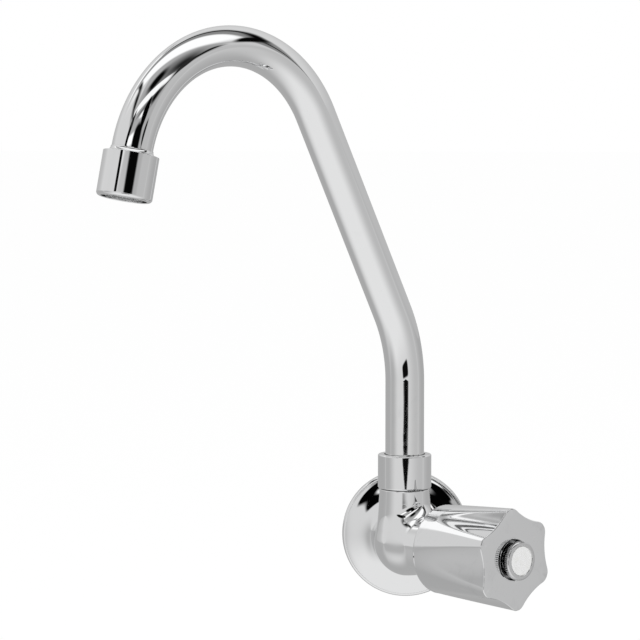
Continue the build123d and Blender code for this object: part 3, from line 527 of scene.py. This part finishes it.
def makeCap():
    columns = cap["grooves"] * cap["perGroove"]
    bm = bmesh.new()
    ring = bmesh.ops.create_circle(bm, segments=columns, radius=cap["bore"] * mm)["verts"]
    edges = bm.edges[:]
    bmesh.ops.translate(bm, verts=ring, vec=(0, 0, cap["back"] * mm - 1e-6))
    rim, radius = cap["rimRound"], cap["radius"]
    bore, sleeve, foot, back, front = cap["bore"], cap["sleeve"], cap["foot"], cap["back"], cap["front"]
    stops = [(bore, foot + 0.2, 0), (bore + 0.2, foot, 0), (sleeve - 0.2, foot, 0), (sleeve, foot + 0.2, 0),
             (sleeve, back, 0), (radius - 0.65, back, 0), (radius - 0.2, back + 0.12, 0.6), (radius, back + 0.4, 1),
             (radius, front - rim - 0.25, 1), (radius, front - rim, 0.35)]  # (radius, station, share of the groove)
    for index in range(1, 9):
        angle = math.pi / 2 * index / 8
        stops.append((radius - rim * (1 - math.cos(angle)), front - rim * (1 - math.sin(angle)), 0))
    pocket, bottom = cap["pocketRadius"], cap["pocketFloor"]
    stops += [(pocket + 0.2, front, 0), (pocket, front - 0.2, 0), (pocket, bottom, 0), (3, bottom, 0)]
    for size, station, depth in stops:
        verts, edges = extruded(bm, edges)
        for vert in verts:
            angle = math.atan2(vert.co.y, vert.co.x)
            groove = (0.5 + 0.5 * math.cos(angle * cap["grooves"])) ** 1.5
            reach = size - cap["grooveDepth"] * depth * groove
            vert.co = (reach * math.cos(angle) * mm, reach * math.sin(angle) * mm, station * mm)
    bmesh.ops.holes_fill(bm, edges=edges)
    bmesh.ops.holes_fill(bm, edges=[edge for edge in bm.edges if edge.is_boundary])
    return evenNormals(shown("indexCap", bm, valvePlace, 40))


dress(makeCap(), "handle", "cap_plastic", "index_cap")
disc = {"radius": 7.0, "floor": 79.4, "top": 79.94, "crown": 0.06, "edge": 0.18}
discOutline = [(disc["radius"], disc["floor"], 0), (disc["radius"], disc["top"], disc["edge"]),
               *[(disc["radius"] * (1 - share) * 0.985, disc["top"] + disc["crown"] * (1 - (1 - share) ** 2), 0)
                 for share in (0.02, 0.2, 0.4, 0.6, 0.8, 0.9, 1)],
               (0, disc["floor"], 0)]
dress(turned("indexDisc", discOutline, valvePlace), "handle", "disc_white", "index_disc")
print("cap and disc made")

# The camera stands where the photograph was taken from
view = {"lens": 183.41, "distance": 1603.03, "azimuth": 2.19, "elevation": 4.64, "aim": (-41.74, -36.54, 110.23)}
azimuth, elevation = math.radians(view["azimuth"]), math.radians(view["elevation"])
back = Vector((math.sin(azimuth) * math.cos(elevation), -math.cos(azimuth) * math.cos(elevation),
               math.sin(elevation)))
cameraData = bpy.data.cameras.new("camera")
cameraData.lens = view["lens"]
cameraData.sensor_width = 36
camera = bpy.data.objects.new("camera", cameraData)
camera.location = (Vector(view["aim"]) + back * view["distance"]) * mm
camera.rotation_euler = back.to_track_quat("Z", "Y").to_euler()
scene.collection.objects.link(camera)
scene.camera = camera
scene.view_settings.view_transform = "Standard"


def feed(tree, socket, value):
    # A socket takes a link, or a plain number, vector or colour
    if isinstance(value, bpy.types.NodeSocket):
        tree.links.new(value, socket)
    else:
        socket.default_value = value


def addNode(tree, kind, sockets={}, **settings):
    # A shader node with its settings made, and then its sockets fed by name or number
    node = tree.nodes.new("ShaderNode" + kind)
    for name, value in settings.items():
        setattr(node, name, value)
    for socket, value in sockets.items():
        feed(tree, node.inputs[socket], value)
    return node


def calculate(tree, operation, *values):
    return addNode(tree, "Math", dict(enumerate(values)), operation=operation).outputs[0]


def times(tree, first, second):
    return calculate(tree, "MULTIPLY", first, second)


def scaled(tree, value, factor, offset):
    return calculate(tree, "MULTIPLY_ADD", value, factor, offset)


def oneOver(tree, value):
    return calculate(tree, "DIVIDE", 1.0, value)


def vectors(tree, operation, *values):
    return addNode(tree, "VectorMath", dict(enumerate(values)), operation=operation).outputs[0]


def between(tree, value, low, high, start=0.0, end=1.0):
    # Eases from start to end while the value goes from low to high
    sockets = dict(enumerate((value, low, high, start, end)))
    return addNode(tree, "MapRange", sockets, interpolation_type="SMOOTHSTEP").outputs[0]


def noise(tree, place, scale, detail=2.0, roughness=0.5, distortion=0.0):
    return addNode(tree, "TexNoise", {"Vector": place, "Scale": scale, "Detail": detail, "Roughness": roughness,
                                      "Distortion": distortion}).outputs[0]


def stretched(tree, place, scale, turn=(0, 0, 0)):
    turn = [math.radians(angle) for angle in turn]
    return addNode(tree, "Mapping", {"Vector": place, "Rotation": turn, "Scale": scale}).outputs[0]


def makeGroup(name, places, numbers, draw):
    # A node group with vector and number inputs, and one value that draw makes of them
    group = bpy.data.node_groups.new(name, "ShaderNodeTree")
    for sockets, kind in ((places, "NodeSocketVector"), (numbers, "NodeSocketFloat")):
        for socket in sockets:
            group.interface.new_socket(socket, in_out="INPUT", socket_type=kind)
    group.interface.new_socket("Value", in_out="OUTPUT", socket_type="NodeSocketFloat")
    given = group.nodes.new("NodeGroupInput").outputs
    feed(group, group.nodes.new("NodeGroupOutput").inputs["Value"], draw(group, given))
    return group


def useGroup(tree, group, **sockets):
    return addNode(tree, "Group", sockets, node_tree=group).outputs[0]


# The studio that the chrome mirrors: soft boxes, a window's frame and dark flags on a pale room.
# Directions are in degrees: side from left (-90) to right (90), and tilt from the front horizon (0) over
# the ceiling (90) to the wall behind (180), with the floor below 0. Later panels lie over earlier ones.
studio = {"room": 0.728, "plain": 0.8}
# name, (side, tilt), (half side, half tilt), turn, squareness, softness, tone
studioPanels = [
    ("floor", (-9.5, -64.8), (240, 40.3), -1.4, 4.4, 0.32, 0.866),
    ("floorBehind", (-7.7, -154.3), (103, 60.5), 4, 7.2, 0.44, 0.445),
    ("wall", (0.6, 154.8), (198, 38.8), -4.6, 7.4, 0.53, 0.737),
    ("wallFoot", (4.6, 188.3), (350, 29.6), -1.7, 11.9, 0.90, 0.510),
    ("rightSide", (78.4, -10.4), (38, 87.8), 11.7, 9.9, 0.76, 0.550),
    ("leftSide", (-81.7, -32.9), (31.2, 69.3), 8.1, 1.7, 0.61, 0.472),
    ("hood", (23.5, 66.2), (44.5, 55.9), -11.6, 9.5, 0.08, 0.453),
    ("ceiling", (22.9, 107.2), (67.5, 15.7), 5.6, 9.2, 0.23, 0.270),
    ("softBox", (8, 91.5), (56, 14), -2, 4, 0.22, 1.15),
    ("beam", (28.7, 56.7), (34, 12), 9.6, 3.2, 0.51, 0.214),
    ("beamDark", (9.1, 56.3), (15.2, 8.5), -3.2, 1.6, 0.41, 0.002),
    ("beamRight", (53.4, 53.9), (19.5, 9.1), -4.3, 1.6, 0.84, 0.018),
    ("beamEnd", (63.3, 48.4), (7.5, 7.2), 13.9, 9.7, 0.24, 0.023),
    ("beamTip", (71.3, 58.4), (4.4, 10.6), -1.7, 2.6, 0.46, 0.012),
    ("lightStrip", (13.6, 43.8), (39.3, 4.2), -0.7, 4.5, 0.16, 1.110),
    ("rail", (22.6, 36.8), (29.6, 2.2), 3.6, 1.9, 0.27, 0.183),
    ("railDark", (41, 35.4), (11.3, 4.8), -1.3, 1.6, 0.66, 0.002),
    ("railRight", (52.2, 37.1), (7.4, 1.7), 21, 2.4, 0.41, 0.062),
    ("railLeft", (-20.9, 34.5), (5.9, 5.6), 2.6, 1.6, 0.30, 0.064),
    ("thinStrip", (20.2, 31.8), (14.1, 2.2), -1.8, 1.8, 0.35, 1.142),
    ("leftStrip", (-9, 22.2), (18, 3.5), -5.7, 8.7, 0.39, 1.199),
    ("doorTop", (18.4, 16.5), (19.5, 10), -11.8, 2.4, 0.18, 0.002),
    ("door", (6.2, -3.5), (16.5, 3.4), -2, 5, 0.18, 0.004),
    ("doorPoint", (6.2, -6.95), (16.5, 1.15), 0, 1, 0.12, 0.004),
    ("doorFoot", (6.2, -13.2), (16.5, 4.2), -2, 5, 0.15, 0.004),
    ("leftFlag", (-26.5, 30), (6, 18), -38.3, 2, 0.15, 0.001),
    ("rightFlag", (27, 29.5), (12, 7), -42, 3, 0.12, 0.001),
    ("darkSpot", (53.1, 14.7), (5.4, 5.8), 3.8, 1.7, 0.24, 0.011),
    ("frameTop", (8.8, 120.1), (36.7, 2.8), -2.3, 6.8, 0.38, 0.025),
    ("frameCorner", (49.8, 116.7), (17.3, 5.3), -19.9, 2.4, 0.69, 0.002),
    ("frameRight", (62.8, 101.6), (23.1, 6.3), -63.8, 1.6, 0.32, 0.002),
    ("frameBeyond", (76, 117), (14, 2.8), 27, 3, 0.35, 0.020),
    ("backStrip", (-36, 125.3), (15, 4.2), 10.6, 5, 0.20, 1.150),
    ("backLine", (-20.3, 131.8), (6, 1), 54, 3, 0.30, 0.005),
    ("frameLeftTop", (-37.3, 90.6), (14.8, 2.5), -76.8, 4.9, 0.55, 0.026),
    ("frameLeft", (-33.2, 63.7), (21.5, 4.9), -78.1, 2, 0.72, 0.008),
    ("frameLeftFoot", (-24.4, 41.9), (9.3, 1.5), -58.8, 8.2, 0.10, 0.055),
    ("cableFar", (31.5, -142), (4, 13), 7, 3, 0.40, 0.060),
    ("cableNear", (23.5, -120.5), (13, 3.6), -49.6, 3, 0.40, 0.010),
]


def drawPanel(group, given):
    # A soft-edged shape between an ellipse and a rectangle, laid over the tone under it
    spun = addNode(group, "VectorRotate", {"Vector": given["Way"], "Center": given["Centre"], "Angle": given["Turn"]},
                   rotation_type="Z_AXIS").outputs[0]
    away = vectors(group, "DIVIDE", vectors(group, "SUBTRACT", spun, given["Centre"]), given["HalfSize"])
    parts = addNode(group, "SeparateXYZ", {0: vectors(group, "ABSOLUTE", away)})
    across, along = [calculate(group, "POWER", parts.outputs[axis], given["Squareness"]) for axis in "XY"]
    reach = calculate(group, "POWER", calculate(group, "ADD", across, along), oneOver(group, given["Squareness"]))
    mask = between(group, reach, calculate(group, "SUBTRACT", 1.0, given["Softness"]),
                   calculate(group, "ADD", 1.0, given["Softness"]), 1.0, 0.0)
    return scaled(group, calculate(group, "SUBTRACT", given["Tone"], given["Under"]), mask, given["Under"])


def makeStudio():
    world = scene.world = bpy.data.worlds.new("studio")
    world.use_nodes = True
    tree = world.node_tree
    parts = addNode(tree, "SeparateXYZ", {0: addNode(tree, "TexCoord").outputs["Generated"]})
    towards = times(tree, parts.outputs["Y"], -1.0)
    tilt = calculate(tree, "DEGREES", calculate(tree, "ARCTAN2", parts.outputs["Z"], towards))
    side = calculate(tree, "DEGREES", calculate(tree, "ARCSINE", parts.outputs["X"]))
    way = addNode(tree, "CombineXYZ", {"X": side, "Y": tilt}).outputs[0]
    panel = makeGroup("studioPanel", ("Way", "Centre", "HalfSize"),
                      ("Turn", "Squareness", "Softness", "Tone", "Under"), drawPanel)
    tone = studio["room"]
    for name, centre, half, turn, squareness, softness, panelTone in studioPanels:
        tone = useGroup(tree, panel, Way=way, Centre=(*centre, 0), HalfSize=(*half, 1), Turn=math.radians(-turn),
                        Squareness=squareness, Softness=softness, Tone=panelTone, Under=tone)
        tone.node.label = name
    # Camera and glass see plain white, and matt surfaces are lit by a plain room
    rays = addNode(tree, "LightPath")
    white = calculate(tree, "MAXIMUM", rays.outputs["Is Camera Ray"], rays.outputs["Is Transmission Ray"])
    for factor, plain in ((rays.outputs["Is Diffuse Ray"], studio["plain"]), (white, 1.0)):
        tone = addNode(tree, "Mix", {"Factor": factor, "A": tone, "B": plain}, data_type="FLOAT").outputs[0]
    feed(tree, tree.nodes["Background"].inputs["Color"], tone)


makeStudio()
print("studio made:", len(studioPanels), "panels")


def pieceSpace(tree, place=Matrix()):
    # Object coordinates in millimetres, seen from a piece's own axis
    inverse = place.inverted()
    return addNode(tree, "Mapping", {
        "Vector": addNode(tree, "TexCoord").outputs["Object"], "Location": inverse.to_translation() / mm,
        "Rotation": inverse.to_euler(), "Scale": (1 / mm, 1 / mm, 1 / mm)}).outputs[0]


def drawSmudges(group, given):
    # Wiped fingermarks: soft patches broken up by fine streaks
    scale = oneOver(group, given["Size"])
    patches = noise(group, given["Place"], scale, 3.0, 0.55, 0.8)
    limit = scaled(group, given["Cover"], -0.4, 0.78)
    patches = between(group, patches, limit, calculate(group, "ADD", limit, 0.16))
    wiped = stretched(group, given["Place"], (1, 0.9, 0.16), (20, 35, 15))
    streaks = between(group, noise(group, wiped, times(group, scale, 11.0), 4.0), 0.36, 0.68, 0.35)
    return times(group, patches, streaks)


def drawHairlines(group, given):
    # Fine scratches in two directions, each broken off after a few millimetres
    scale = oneOver(group, given["Length"])
    masks = []
    for turn in ((35, 10, 0), (-15, 70, 40)):
        lines = noise(group, stretched(group, given["Place"], (5, 5, 0.35), turn), scale, 1.0)
        away = calculate(group, "ABSOLUTE", calculate(group, "SUBTRACT", lines, 0.5))
        cover = noise(group, stretched(group, given["Place"], (1, 1, 1), turn), times(group, scale, 1.7))
        limit = scaled(group, given["Cover"], -0.3, 0.7)
        cover = between(group, cover, limit, calculate(group, "ADD", limit, 0.08))
        masks.append(times(group, between(group, away, 0.0, 0.006, 1.0, 0.0), cover))
    return calculate(group, "MAXIMUM", *masks)


def drawEdgeWearAndHighlight(group, given):
    # Outer edges, where hands and cloths rub the surface, uneven along their length; on plated pieces the brightening
    # it drives is a painted highlight along the edges
    edge = between(group, addNode(group, "NewGeometry").outputs["Pointiness"], 0.505, 0.58)
    uneven = noise(group, given["Place"], oneOver(group, given["Patches"]), 3.0)
    return times(group, edge, between(group, uneven, 0.38, 0.62, 0.25))


def drawCreviceShade(group, given):
    # Painted shade: narrow gaps and recesses between pieces, found by ambient occlusion, are darkened where little
    # light comes out
    openness = addNode(group, "AmbientOcclusion", {"Distance": times(group, given["Reach"], mm)}, samples=8)
    return between(group, openness.outputs["AO"], 0.30, 0.72, 1.0, 0.0)


def drawToolMarks(group, given):
    # Lathe marks: fine rings across the axis, in the piece's own millimetres
    rings = stretched(group, given["Place"], (0.012, 0.012, 1))
    fine = noise(group, rings, oneOver(group, given["Pitch"]), 2.0, 0.6)
    broad = noise(group, rings, calculate(group, "DIVIDE", 0.22, given["Pitch"]), 1.0)
    return scaled(group, broad, 0.35, times(group, fine, 0.65))


def drawSpeckle(group, given):
    # Moulding and pressing texture: small specks on a soft mottle
    scale = oneOver(group, given["Size"])
    cells = addNode(group, "TexVoronoi", {"Vector": given["Place"], "Scale": scale}).outputs["Distance"]
    specks = between(group, cells, 0.0, times(group, given["Density"], 0.5), 1.0, 0.0)
    mottle = noise(group, given["Place"], times(group, scale, 0.3), 4.0)
    return scaled(group, specks, 0.6, times(group, mottle, 0.4))


smudges = makeGroup("smudges", ["Place"], ["Size", "Cover"], drawSmudges)
hairlines = makeGroup("hairlines", ["Place"], ["Length", "Cover"], drawHairlines)
edgeWearAndHighlight = makeGroup("edgeWearAndHighlight", ["Place"], ["Patches"], drawEdgeWearAndHighlight)
creviceShade = makeGroup("creviceShade", [], ["Reach"], drawCreviceShade)
toolMarks = makeGroup("toolMarks", ["Place"], ["Pitch"], drawToolMarks)
speckle = makeGroup("speckle", ["Place"], ["Size", "Density"], drawSpeckle)
# Painted shade: the near-black that narrow gaps and recesses are darkened to
creviceShadeBlack = (0.012, 0.012, 0.012)
finishes = {}  # finish name to its material


def newFinish(name, **constants):
    # Numbers that are the same all over sit on the shader's own sockets
    material = bpy.data.materials.new(name)
    material.use_nodes = True
    shader = material.node_tree.nodes["Principled BSDF"]
    for socket, value in constants.items():
        shader.inputs[socket].default_value = value
    finishes[name] = material
    return material.node_tree, shader


def blended(tree, factor, first, second):
    first, second = [(*colour, 1) if isinstance(colour, tuple) else colour for colour in (first, second)]
    return addNode(tree, "Mix", {0: factor, 6: first, 7: second}, data_type="RGBA").outputs[2]


def surface(tree, shader, colour, rough, height, depth):
    # depth is the height of the marks in millimetres
    bump = addNode(tree, "Bump", {"Strength": 1, "Distance": depth * mm, "Height": height}).outputs["Normal"]
    for socket, value in (("Base Color", colour), ("Roughness", rough), ("Normal", bump)):
        feed(tree, shader.inputs[socket], value)


# Plated pieces: mirror chrome with a breath of fingermarks and hairline scratches, a painted highlight on its edges,
# and painted shade in narrow gaps
# gap is how far the painted crevice shade reaches, in millimetres
plated = {
    "chrome": {"bright": (0.865, 0.868, 0.872), "dull": (0.79, 0.795, 0.80), "edgeWearAndSheen": (0.90, 0.90, 0.895),
               "polish": 0.018, "smudged": 0.05, "scratched": 0.08, "edgeWear": 0.05, "smudgeSize": 17,
               "smudgeCover": 0.45, "scratchLength": 6, "scratchCover": 0.35, "waveSize": 5.5, "waveDepth": 0.0016,
               "gap": 1.4},
    "handle_chrome": {"bright": (0.83, 0.833, 0.838), "dull": (0.74, 0.745, 0.75), "edgeWearAndSheen": (0.88, 0.88, 0.875),
                      "polish": 0.035, "smudged": 0.06, "scratched": 0.08, "edgeWear": 0.03, "smudgeSize": 12,
                      "smudgeCover": 0.6, "scratchLength": 5, "scratchCover": 0.5, "waveSize": 4, "waveDepth": 0.002,
                      "gap": 3.5},
    "cap_plastic": {"bright": (0.72, 0.722, 0.726), "dull": (0.64, 0.643, 0.648), "edgeWearAndSheen": (0.78, 0.78, 0.775),
                    "polish": 0.16, "smudged": 0.08, "scratched": 0.1, "edgeWear": 0.08, "smudgeSize": 5,
                    "smudgeCover": 0.6, "scratchLength": 3, "scratchCover": 0.5, "waveSize": 1.6, "waveDepth": 0.001,
                    "gap": 2},
}


def makePlated(name, look):
    tree, shader = newFinish(name, Metallic=1)
    place = pieceSpace(tree)
    smudged = useGroup(tree, smudges, Place=place, Size=look["smudgeSize"], Cover=look["smudgeCover"])
    scratched = useGroup(tree, hairlines, Place=place, Length=look["scratchLength"], Cover=look["scratchCover"])
    edgeWearAndSheen = useGroup(tree, edgeWearAndHighlight, Place=place, Patches=look["smudgeSize"] / 4)
    colour = blended(tree, times(tree, smudged, 0.45), look["bright"], look["dull"])
    # Painted highlight: convex edges are brightened in the base colour
    colour = blended(tree, times(tree, edgeWearAndSheen, 0.6), colour, look["edgeWearAndSheen"])
    # Painted shade: narrow gaps and recesses darken towards black in the base colour
    colour = blended(tree, useGroup(tree, creviceShade, Reach=look["gap"]), colour, creviceShadeBlack)
    rough = scaled(tree, smudged, look["smudged"], look["polish"])
    rough = scaled(tree, scratched, look["scratched"], rough)
    rough = scaled(tree, edgeWearAndSheen, look["edgeWear"], rough)
    waves = noise(tree, place, 1 / look["waveSize"], 1.0)
    surface(tree, shader, colour, rough, scaled(tree, scratched, -0.25, waves), look["waveDepth"])


for finishName, look in plated.items():
    makePlated(finishName, look)

# The disc: glossy white plastic, a little yellowed and hazed by wiping
discLook = {
    "fresh": (0.90, 0.90, 0.90), "aged": (0.84, 0.84, 0.815), "gloss": 0.16, "hazed": 0.12, "smudgeSize": 4,
    "smudgeCover": 0.7, "scratchLength": 3, "scratchCover": 0.5, "depth": 0.0006,
}
tree, shader = newFinish("disc_white", IOR=1.49)
place = pieceSpace(tree, valvePlace)
hazed = useGroup(tree, smudges, Place=place, Size=discLook["smudgeSize"], Cover=discLook["smudgeCover"])
scratched = useGroup(tree, hairlines, Place=place, Length=discLook["scratchLength"],
                     Cover=discLook["scratchCover"])
yellowed = between(tree, noise(tree, place, 0.35, 3.0), 0.35, 0.9)
colour = blended(tree, yellowed, discLook["fresh"], discLook["aged"])
rough = scaled(tree, hazed, discLook["hazed"], scaled(tree, scratched, 0.2, discLook["gloss"]))
height = scaled(tree, scratched, -0.2, noise(tree, place, 0.5, 1.0))
surface(tree, shader, colour, rough, height, discLook["depth"])

# Turned metal inside: rings across each piece's own axis, tarnish in patches, bright rubbed edges
turnedMetal = {
    "brass": {"place": valvePlace, "clean": (0.80, 0.62, 0.32), "tarnish": (0.50, 0.34, 0.15), "patches": 7,
              "edgeWearAndSheen": (0.92, 0.78, 0.48), "polish": 0.20, "grain": 0.16, "pitch": 0.22, "depth": 0.006},
    "spigotBrass": {"place": swivelPlace, "clean": (0.80, 0.62, 0.32), "tarnish": (0.48, 0.34, 0.17), "patches": 5,
                    "edgeWearAndSheen": (0.92, 0.78, 0.48), "polish": 0.22, "grain": 0.18, "pitch": 0.20, "depth": 0.006},
    "stainless": {"place": valvePlace, "clean": (0.70, 0.70, 0.69), "tarnish": (0.52, 0.51, 0.49), "patches": 4,
                  "edgeWearAndSheen": (0.80, 0.80, 0.79), "polish": 0.22, "grain": 0.20, "pitch": 0.15, "depth": 0.004},
}


def makeTurnedMetal(name, look):
    tree, shader = newFinish(name, Metallic=1)
    place = pieceSpace(tree, look["place"])
    rings = useGroup(tree, toolMarks, Place=place, Pitch=look["pitch"])
    patches = between(tree, noise(tree, place, 1 / look["patches"], 4.0, 0.6, 0.5), 0.45, 0.7)
    edgeWearAndSheen = useGroup(tree, edgeWearAndHighlight, Place=place, Patches=look["patches"] / 2)
    dark = scaled(tree, rings, 0.3, times(tree, patches, 0.55))
    colour = blended(tree, edgeWearAndSheen, blended(tree, dark, look["clean"], look["tarnish"]), look["edgeWearAndSheen"])
    rough = scaled(tree, rings, 0.12, scaled(tree, patches, look["grain"], look["polish"]))
    surface(tree, shader, colour, rough, rings, look["depth"])


for finishName, look in turnedMetal.items():
    makeTurnedMetal(finishName, look)

# The aerator's screen: woven wire, with painted shade between the wires where the open holes are
weave = {"pitch": 0.62, "wire": (0.66, 0.66, 0.65), "gap": (0.03, 0.03, 0.03), "roughness": 0.25, "depth": 0.08}
tree, shader = newFinish("aerator_screen", Metallic=1)
place = pieceSpace(tree, tipPlace)
parts = addNode(tree, "SeparateXYZ", {0: place})
waves = [calculate(tree, "SINE", times(tree, parts.outputs[axis], math.pi / weave["pitch"])) for axis in "XY"]
warp, weft = [calculate(tree, "POWER", calculate(tree, "ABSOLUTE", wave), 2.5) for wave in waves]
over = times(tree, *waves)
wires = scaled(tree, over, 0.15, calculate(tree, "MAXIMUM", warp, weft))
# Painted shade: the holes between the wires are coloured near-black
colour = blended(tree, between(tree, wires, 0.3, 0.55), weave["gap"], weave["wire"])
rough = scaled(tree, noise(tree, place, 0.5, 3.0), 0.3, weave["roughness"])
surface(tree, shader, colour, rough, wires, weave["depth"])

# Soft and moulded parts: rubber with its bloom, pressed fibre, waxy packing and moulded acetal
moulded = {
    "rubber": {"deep": (0.035, 0.035, 0.037), "pale": (0.085, 0.083, 0.08), "rough": 0.52, "spread": 0.25,
               "grain": 0.35, "density": 0.5, "depth": 0.012, "ior": 1.5, "coat": 0},
    "fibre": {"deep": (0.50, 0.41, 0.30), "pale": (0.68, 0.61, 0.51), "rough": 0.75, "spread": 0.2, "grain": 0.3,
              "density": 0.9, "depth": 0.025, "ior": 1.45, "coat": 0},
    "packing": {"deep": (0.80, 0.79, 0.74), "pale": (0.89, 0.89, 0.87), "rough": 0.38, "spread": 0.25,
                "grain": 0.55, "density": 0.6, "depth": 0.010, "ior": 1.38, "coat": 0},
    "acetal": {"deep": (0.84, 0.84, 0.82), "pale": (0.90, 0.90, 0.895), "rough": 0.26, "spread": 0.2, "grain": 0.8,
               "density": 0.4, "depth": 0.004, "ior": 1.48, "coat": 0.15},
}


def makeMoulded(name, look):
    tree, shader = newFinish(name, **{"IOR": look["ior"], "Coat Weight": look["coat"]})
    place = pieceSpace(tree)
    specks = useGroup(tree, speckle, Place=place, Size=look["grain"], Density=look["density"])
    edgeWearAndSheen = useGroup(tree, edgeWearAndHighlight, Place=place, Patches=look["grain"] * 6)
    clouds = noise(tree, place, 0.16 / look["grain"], 4.0, 0.55, 0.4)
    paler = scaled(tree, specks, 0.45, between(tree, clouds, 0.35, 0.75, 0.0, 0.55))
    colour = blended(tree, calculate(tree, "MAXIMUM", paler, edgeWearAndSheen), look["deep"], look["pale"])
    surface(tree, shader, colour, scaled(tree, specks, look["spread"], look["rough"]), specks, look["depth"])


for finishName, look in moulded.items():
    makeMoulded(finishName, look)

wears = {
    "chrome": ("spout_tube", "spout_cup", "valve_body", "cap_nut", "wall_flange"),
    "handle_chrome": ("handle_shell",), "cap_plastic": ("index_cap",), "disc_white": ("index_disc",),
    "brass": ("bonnet", "gland_follower", "gland_nut", "spindle", "jumper", "jumper_nut"),
    "spigotBrass": ("spout_spigot", "spout_split_ring"),
    "rubber": ("aerator_washer", "spout_seal_rings", "flange_seal_ring", "seat_washer"),
    "fibre": ("bonnet_gasket",), "packing": ("spout_bearing_washer", "packing_rings"),
    "acetal": ("aerator_sleeve", "aerator_diffuser"), "stainless": ("screw_washer", "handle_screw"),
    "aerator_screen": ("aerator_screen",),
}
for finishName, nodes in wears.items():
    for name in nodes:
        cadNodes[name].data.materials.clear()
        cadNodes[name].data.materials.append(finishes[finishName])
for name, slot in finishOf.items():
    bpy.data.objects[name].data.materials.append(finishes[slot])
print("finishes made:", len(finishes))

# A pale floor that keeps the soft shadow, and one large soft lamp
floorLook = {"size": 12, "height": -0.16, "colour": (0.9, 0.9, 0.9, 1), "white": 0.85, "strength": 1.04}
floorMesh = bmesh.new()
bmesh.ops.create_grid(floorMesh, x_segments=2, y_segments=2, size=floorLook["size"])
floor = shown("floor", floorMesh, Matrix.Translation((0, 0, floorLook["height"])))
floor.visible_glossy = False
tree, shader = newFinish("floorPaint", **{"Base Color": floorLook["colour"], "Roughness": 1, "Specular IOR Level": 0})
glow = addNode(tree, "Emission", {"Strength": floorLook["strength"]}).outputs[0]
seen = times(tree, addNode(tree, "LightPath").outputs["Is Camera Ray"], floorLook["white"])
both = addNode(tree, "MixShader", {0: seen, 1: shader.outputs[0], 2: glow}).outputs[0]
feed(tree, tree.nodes["Material Output"].inputs["Surface"], both)
floor.data.materials.append(finishes["floorPaint"])

lamp = {"size": 1.2, "energy": 6, "at": (0.2, -0.6, 1.6), "towards": (-0.04, -0.04, 0.1)}
lampData = bpy.data.lights.new("softLamp", "AREA")
lampData.size = lamp["size"]
lampData.energy = lamp["energy"]
softLamp = bpy.data.objects.new("softLamp", lampData)
softLamp.location = lamp["at"]
softLamp.rotation_euler = (Vector(lamp["at"]) - Vector(lamp["towards"])).to_track_quat("Z", "Y").to_euler()
softLamp.visible_glossy = softLamp.visible_camera = False
scene.collection.objects.link(softLamp)
print("floor and lamp made")
